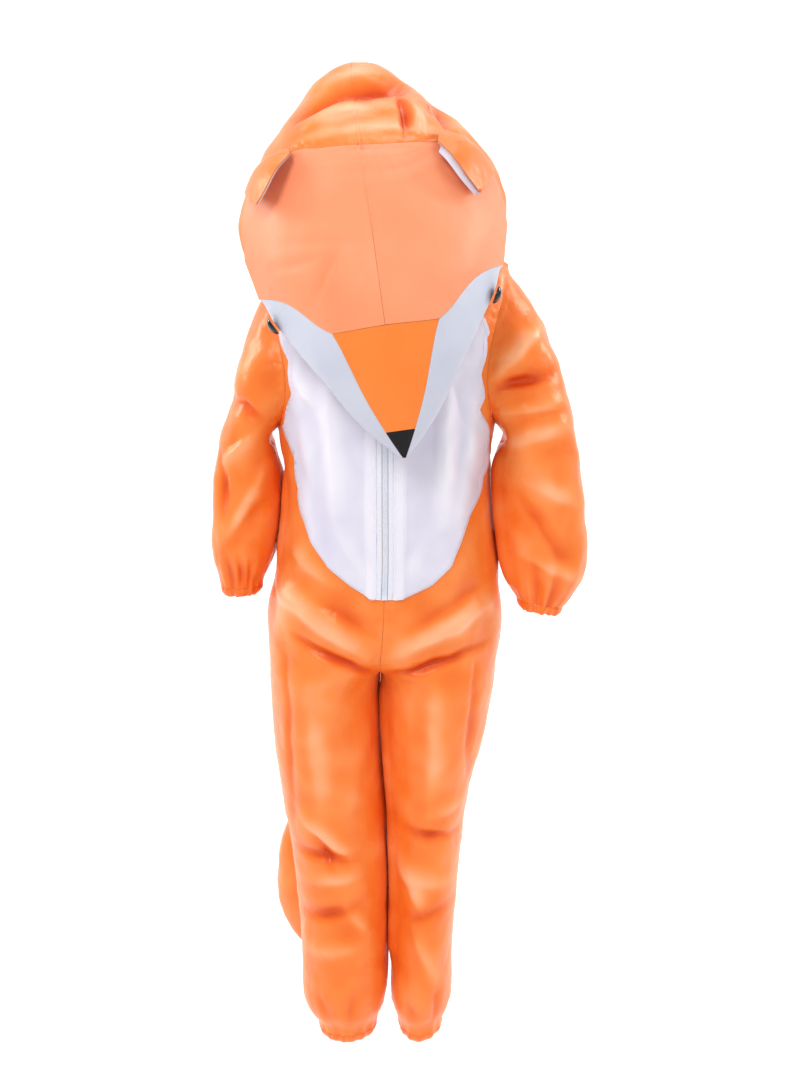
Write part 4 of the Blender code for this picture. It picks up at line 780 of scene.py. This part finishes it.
paddedLook = {"levels": 3, "cornerTurn": 0.45, "thickness": 0.0028, "seamHold": 0.010, "dent": 0.0010,
              "dentSize": 0.045, "pucker": 0.0003, "shade": 0.2, "front": "forehead", "back": ""}
foreheadLook = dict(paddedLook, finish="padded_satin", slides=True)
smallPadLook = dict(paddedLook, front="", thickness=0.0012, dent=0.0006)
shadedCheekPadLook = dict(smallPadLook, finish="shaded_cheek_satin")
paddedPieces = {
    "forehead_left": foreheadLook,
    "forehead_right": foreheadLook,
    "cheek_left": shadedCheekPadLook,
    "cheek_right": shadedCheekPadLook,
    "muzzle": dict(smallPadLook, finish="deep_orange_satin"),
    "nose": dict(smallPadLook, finish="black_satin", thickness=0.0006, dent=0.0, pucker=0),
}
for node, look in paddedPieces.items():
    piece = clothPiece(node.replace("_", "") + "Pad", node, look)
    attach(piece, "suit")
    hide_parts(node)
print("face made")

# The zip keeps its CAD shapes and gets its finishes

for node in ("zip_slider", "zip_pull_tab", "zip_tape_left", "zip_tape_right", "zip_teeth"):
    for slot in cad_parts[node].material_slots:
        slot.link = "OBJECT"
        slot.material = finishes["white_nylon" if "tape" in node or "teeth" in node else "white_enamelled_zinc"]


def buttonPiece(name, nodeName, look):
    # a domed button smoothed from its CAD solid, whose flat back stays sharp
    made = mergedCopy(nodeName)
    bmesh.ops.dissolve_limit(made, angle_limit=math.radians(2), verts=made.verts, edges=made.edges)
    crease = made.edges.layers.float.new("crease_edge")
    for edge in made.edges:
        edge[crease] = 0.7 if edge.calc_face_angle(0) > 1.2 else 0.0
    piece = sheetObject(name, made)
    finer = piece.modifiers.new("finer", "SUBSURF")
    finer.levels = finer.render_levels = look["levels"]
    plainMesh(piece)
    piece.data.materials.clear()
    piece.data.materials.append(finishes[look["finish"]])
    piece.data.shade_smooth()
    return piece


for side in ("left", "right"):
    piece = buttonPiece("eye" + side.capitalize(), "eye_" + side, {"levels": 3, "finish": "black_button"})
    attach(piece, "suit")
    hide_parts("eye_" + side)
print("buttons made")

# Stitches and zip teeth: one small rounded shape repeated along a path by Geometry Nodes

def pathTree():
    # one bead for every spacing of the path, facing as the cloth does
    tree = bpy.data.node_groups.new("rowAlongPath", "GeometryNodeTree")
    sockets = (("Geometry", "NodeSocketGeometry"), ("Spacing", "NodeSocketFloat"), ("Size", "NodeSocketVector"),
               ("Uneven", "NodeSocketFloat"), ("Seed", "NodeSocketInt"), ("Material", "NodeSocketMaterial"))
    for name, kind in sockets:
        tree.interface.new_socket(name, in_out="INPUT", socket_type=kind)
    tree.interface.new_socket("Geometry", in_out="OUTPUT", socket_type="NodeSocketGeometry")
    given = addNode(tree, "NodeGroupInput", {}).outputs
    curve = addNode(tree, "GeometryNodeMeshToCurve", {"Mesh": given["Geometry"]})
    points = addNode(tree, "GeometryNodeCurveToPoints", {"Curve": curve.outputs[0], "Length": given["Spacing"]},
                     mode="LENGTH")
    facing = addNode(tree, "GeometryNodeInputNamedAttribute", {"Name": "facing"}, data_type="FLOAT_VECTOR")
    upright = addNode(tree, "FunctionNodeAlignRotationToVector", {"Vector": facing.outputs[0]}, axis="Z")
    turned = addNode(tree, "FunctionNodeAlignRotationToVector", {"Rotation": upright.outputs[0],
                     "Vector": points.outputs["Tangent"]}, axis="X", pivot_axis="Z")
    grown = addNode(tree, "ShaderNodeMath", {0: given["Uneven"], 1: 1.0}, operation="ADD")
    shrunk = addNode(tree, "ShaderNodeMath", {0: 1.0, 1: given["Uneven"]}, operation="SUBTRACT")
    chance = addNode(tree, "FunctionNodeRandomValue", {2: shrunk.outputs[0], 3: grown.outputs[0],
                     "Seed": given["Seed"]}, data_type="FLOAT")
    size = addNode(tree, "ShaderNodeVectorMath", {0: given["Size"], "Scale": chance.outputs[1]},
                   operation="SCALE")
    bead = addNode(tree, "GeometryNodeMeshUVSphere", {"Segments": 8, "Rings": 5, "Radius": 0.5})
    copies = addNode(tree, "GeometryNodeInstanceOnPoints", {"Points": points.outputs["Points"],
                     "Instance": bead.outputs["Mesh"], "Rotation": turned.outputs[0], "Scale": size.outputs[0]})
    real = addNode(tree, "GeometryNodeRealizeInstances", {"Geometry": copies.outputs[0]})
    painted = addNode(tree, "GeometryNodeSetMaterial", {"Geometry": real.outputs[0],
                                                        "Material": given["Material"]})
    addNode(tree, "NodeGroupOutput", {"Geometry": painted.outputs[0]})
    return tree


rowAlongPath = pathTree()


def rowPiece(name, paths, look):
    # paths are lists of points with the way they face
    made = bmesh.new()
    facing = made.verts.layers.float_vector.new("facing")
    for path in paths:
        before = None
        for spot, normal in path:
            vert = made.verts.new(spot + normal * look["lift"])
            vert[facing] = normal
            if before:
                made.edges.new((before, vert))
            before = vert
    piece = sheetObject(name, made)
    row = piece.modifiers.new("row", "NODES")
    row.node_group = rowAlongPath
    values = {"Spacing": look["spacing"], "Size": look["size"], "Uneven": look["uneven"], "Seed": look["seed"],
              "Material": finishes[look["finish"]]}
    for socket in rowAlongPath.interface.items_tree:
        if socket.in_out == "INPUT" and socket.name in values:
            row[socket.identifier] = values[socket.name]
    plainMesh(piece)
    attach(piece, "suit")
    print(name, "made:", len(piece.data.polygons), "faces")


def pathOn(objects, places):
    # the points of the front surface at these X and Z, and the way that the surface faces
    trees = []
    for shown in objects:
        made = bmesh.new()
        made.from_mesh(shown.data)
        trees.append(BVHTree.FromBMesh(made))
        made.free()
    path = []
    for x, z in places:
        hits = [tree.ray_cast(Vector((x, -0.4, z)), Vector((0, 1, 0))) for tree in trees]
        hits = [hit for hit in hits if hit[0] is not None]
        if hits:
            nearest = min(hits, key=lambda hit: hit[3])
            path.append((nearest[0], nearest[1] if nearest[1].y < 0 else -nearest[1]))
    return path


def insetOutline(outline, inset):
    # a closed loop moved inwards by this distance
    area = sum(x1 * z2 - x2 * z1 for (x1, z1), (x2, z2) in zip(outline, outline[1:] + outline[:1]))
    moved = []
    for before, spot, after in zip(outline[-3:] + outline[:-3], outline, outline[3:] + outline[:3]):
        along = Vector(after) - Vector(before)
        side = Vector((-along.y, along.x)).normalized() * math.copysign(inset, area)
        moved.append(tuple(Vector(spot) + side))
    return moved


pathStep = 0.003
heights = [zipTop - step * pathStep for step in range(int((zipTop - zipEnd) / pathStep))]
tummies = {side: bpy.data.objects["tummy" + side + "Cloth"] for side in ("left", "right")}
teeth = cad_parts["zip_teeth"]
coilLook = {"aside": 0.0011, "spacing": 0.0015, "size": (0.0009, 0.0026, 0.0010), "uneven": 0.03, "seed": 4,
            "lift": 0.0002, "finish": "white_nylon", "slot": "white_nylon"}
whiteStitchLook = {"weltEdges": (0.0102, 0.0182), "inset": 0.0028, "zipSide": 0.02, "spacing": 0.0034,
                   "size": (0.0024, 0.0006, 0.0005), "uneven": 0.12, "seed": 9, "lift": 0.0001,
                   "finish": "white_thread", "slot": "white_satin"}
hemStitchLook = dict(whiteStitchLook, seed=21, lift=0.0003, finish="thread", slot="orange_satin")
coil = []
for sign, step in ((-1, 0), (1, coilLook["spacing"] / 2)):    # the two sides of the coil interlock
    coil.append(pathOn([teeth], [(zipCentre(z) + sign * coilLook["aside"], z + step) for z in heights]))
rowPiece("zipCoil", coil, coilLook)
whiteRows = []
for side, sign in (("left", 1), ("right", -1)):
    for away in whiteStitchLook["weltEdges"]:
        whiteRows.append(pathOn([tummies[side]], [(zipCentre(z) + sign * away, z) for z in heights]))
    loop = insetOutline(tummyOutline("tummy_" + side), whiteStitchLook["inset"])
    edge = [(x, z) for x, z in loop if abs(x - zipCentre(z)) > whiteStitchLook["zipSide"]]
    start = max(range(len(edge)), key=lambda i: (Vector(edge[i]) - Vector(edge[i - 1])).length)
    whiteRows.append(pathOn([tummies[side]], edge[start:] + edge[:start]))
rowPiece("whiteStitches", whiteRows, whiteStitchLook)
orangeRows = []
for hem in hems.values():
    edge = sorted(hem["edge"], key=lambda spot: hemTurn(spot, hem))
    orangeRows.append([(spot, (spot - hem["centre"]).normalized()) for spot in edge + edge[:1]])
rowPiece("hemStitches", orangeRows, hemStitchLook)


def stuffedTail(look):
    # the CAD tail rounded off and dented where the stuffing is slack
    made = mergedCopy("tail")
    bmesh.ops.join_triangles(made, faces=made.faces, angle_face_threshold=math.radians(40),
                             angle_shape_threshold=math.radians(60))
    piece = sheetObject("tailPad", made)
    finer = piece.modifiers.new("finer", "SUBSURF")
    finer.levels = finer.render_levels = look["levels"]
    plainMesh(piece)
    mesh = piece.data
    depth = mesh.attributes.new("depth", "FLOAT", "POINT")
    normals = [vert.normal.copy() for vert in mesh.vertices]
    for index, vert in enumerate(mesh.vertices):
        move = look["dent"] * crumple(vert.co, look["dentSize"], 7.7)
        # painted shade and highlight: dents painted darker, bulges lighter
        depth.data[index].value = seamLook["plain"] + look["shade"] * move / seamLook["fullShade"]
        vert.co += normals[index] * (move + look["plump"])
    mesh.materials.clear()
    mesh.materials.append(finishes["orange_satin"])
    mesh.shade_smooth()
    return piece


tail = stuffedTail({"levels": 3, "dent": 0.0022, "dentSize": 0.03, "plump": 0.001, "shade": 0.2})
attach(tail, "suit")
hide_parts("tail")
print("tail made")

# Stage, light and camera

stageLook = {"floorZ": -0.955, "size": 9.0, "bend": 2.2, "round": 1.2, "wall": 5, "colour": "#F4F4F4"}


def buildStage(look):
    # a floor that curves up into a backdrop
    steps = 24
    profile = [(-look["size"] / 2, look["floorZ"]), (look["bend"], look["floorZ"])]
    for step in range(1, steps + 1):
        turn = math.pi / 2 * step / steps
        profile.append((look["bend"] + look["round"] * math.sin(turn),
                        look["floorZ"] + look["round"] * (1 - math.cos(turn))))
    profile.append((look["bend"] + look["round"], look["floorZ"] + look["wall"]))
    made = bmesh.new()
    sides = [[made.verts.new((x, y, z)) for y, z in profile] for x in (-look["size"] / 2, look["size"] / 2)]
    for index in range(len(profile) - 1):
        made.faces.new((sides[0][index], sides[1][index], sides[1][index + 1], sides[0][index + 1]))
    floor = sheetObject("studioFloor", made)
    floor.data.shade_smooth()
    paint = bpy.data.materials.new("matt white paper")
    paint.use_nodes = True
    shader = paint.node_tree.nodes["Principled BSDF"]
    shader.inputs["Base Color"].default_value = linearColour(look["colour"])
    shader.inputs["Roughness"].default_value = 0.9
    floor.data.materials.append(paint)


def areaLight(name, spot, target, size, power):
    data = bpy.data.lights.new(name, "AREA")
    data.shape = "RECTANGLE"
    data.size, data.size_y = size
    data.energy = power
    lamp = bpy.data.objects.new(name, data)
    lamp.location = spot
    lamp.rotation_euler = (Vector(target) - Vector(spot)).to_track_quat("-Z", "Y").to_euler()
    bpy.context.scene.collection.objects.link(lamp)


buildStage(stageLook)
world = bpy.data.worlds.new("studio")
world.use_nodes = True
world.node_tree.nodes["Background"].inputs["Color"].default_value = linearColour("#FFFFFF")
world.node_tree.nodes["Background"].inputs["Strength"].default_value = 0.55
bpy.context.scene.world = world
# Each light: where it stands, what it faces, its size in metres and its power in watts
lights = {
    "key": ((-0.9, -2.0, 1.4), (0, 0, -0.15), (1.0, 1.0), 30),
    "fill": ((1.7, -1.6, 0.4), (0, 0, -0.2), (1.4, 1.4), 8),
    "top": ((0.1, 0.5, 1.6), (0, 0, 0), (1.2, 1.2), 9),
    "backdropLeft": ((-2.2, 0.8, 1.0), (0, 3.2, 0.0), (1.2, 1.2), 60),
    "backdropRight": ((2.2, 0.8, 1.0), (0, 3.2, 0.0), (1.2, 1.2), 60),
}
for name, (spot, target, size, power) in lights.items():
    areaLight(name, spot, target, size, power)

cameraLook = {"spot": (0.0143, -1.43, 0.03), "pitch": 11.0, "focalPx": 1400, "framePx": 1067, "sensorMm": 36}
cameraData = bpy.data.cameras.new("camera")
cameraData.sensor_fit = "AUTO"
cameraData.sensor_width = cameraLook["sensorMm"]
cameraData.lens = cameraLook["sensorMm"] * cameraLook["focalPx"] / cameraLook["framePx"]
cameraData.clip_start = 0.01
camera = bpy.data.objects.new("camera", cameraData)
camera.location = cameraLook["spot"]
camera.rotation_euler = (math.radians(90 - cameraLook["pitch"]), 0, 0)
bpy.context.scene.collection.objects.link(camera)
bpy.context.scene.camera = camera
bpy.context.scene.view_settings.view_transform = "Standard"
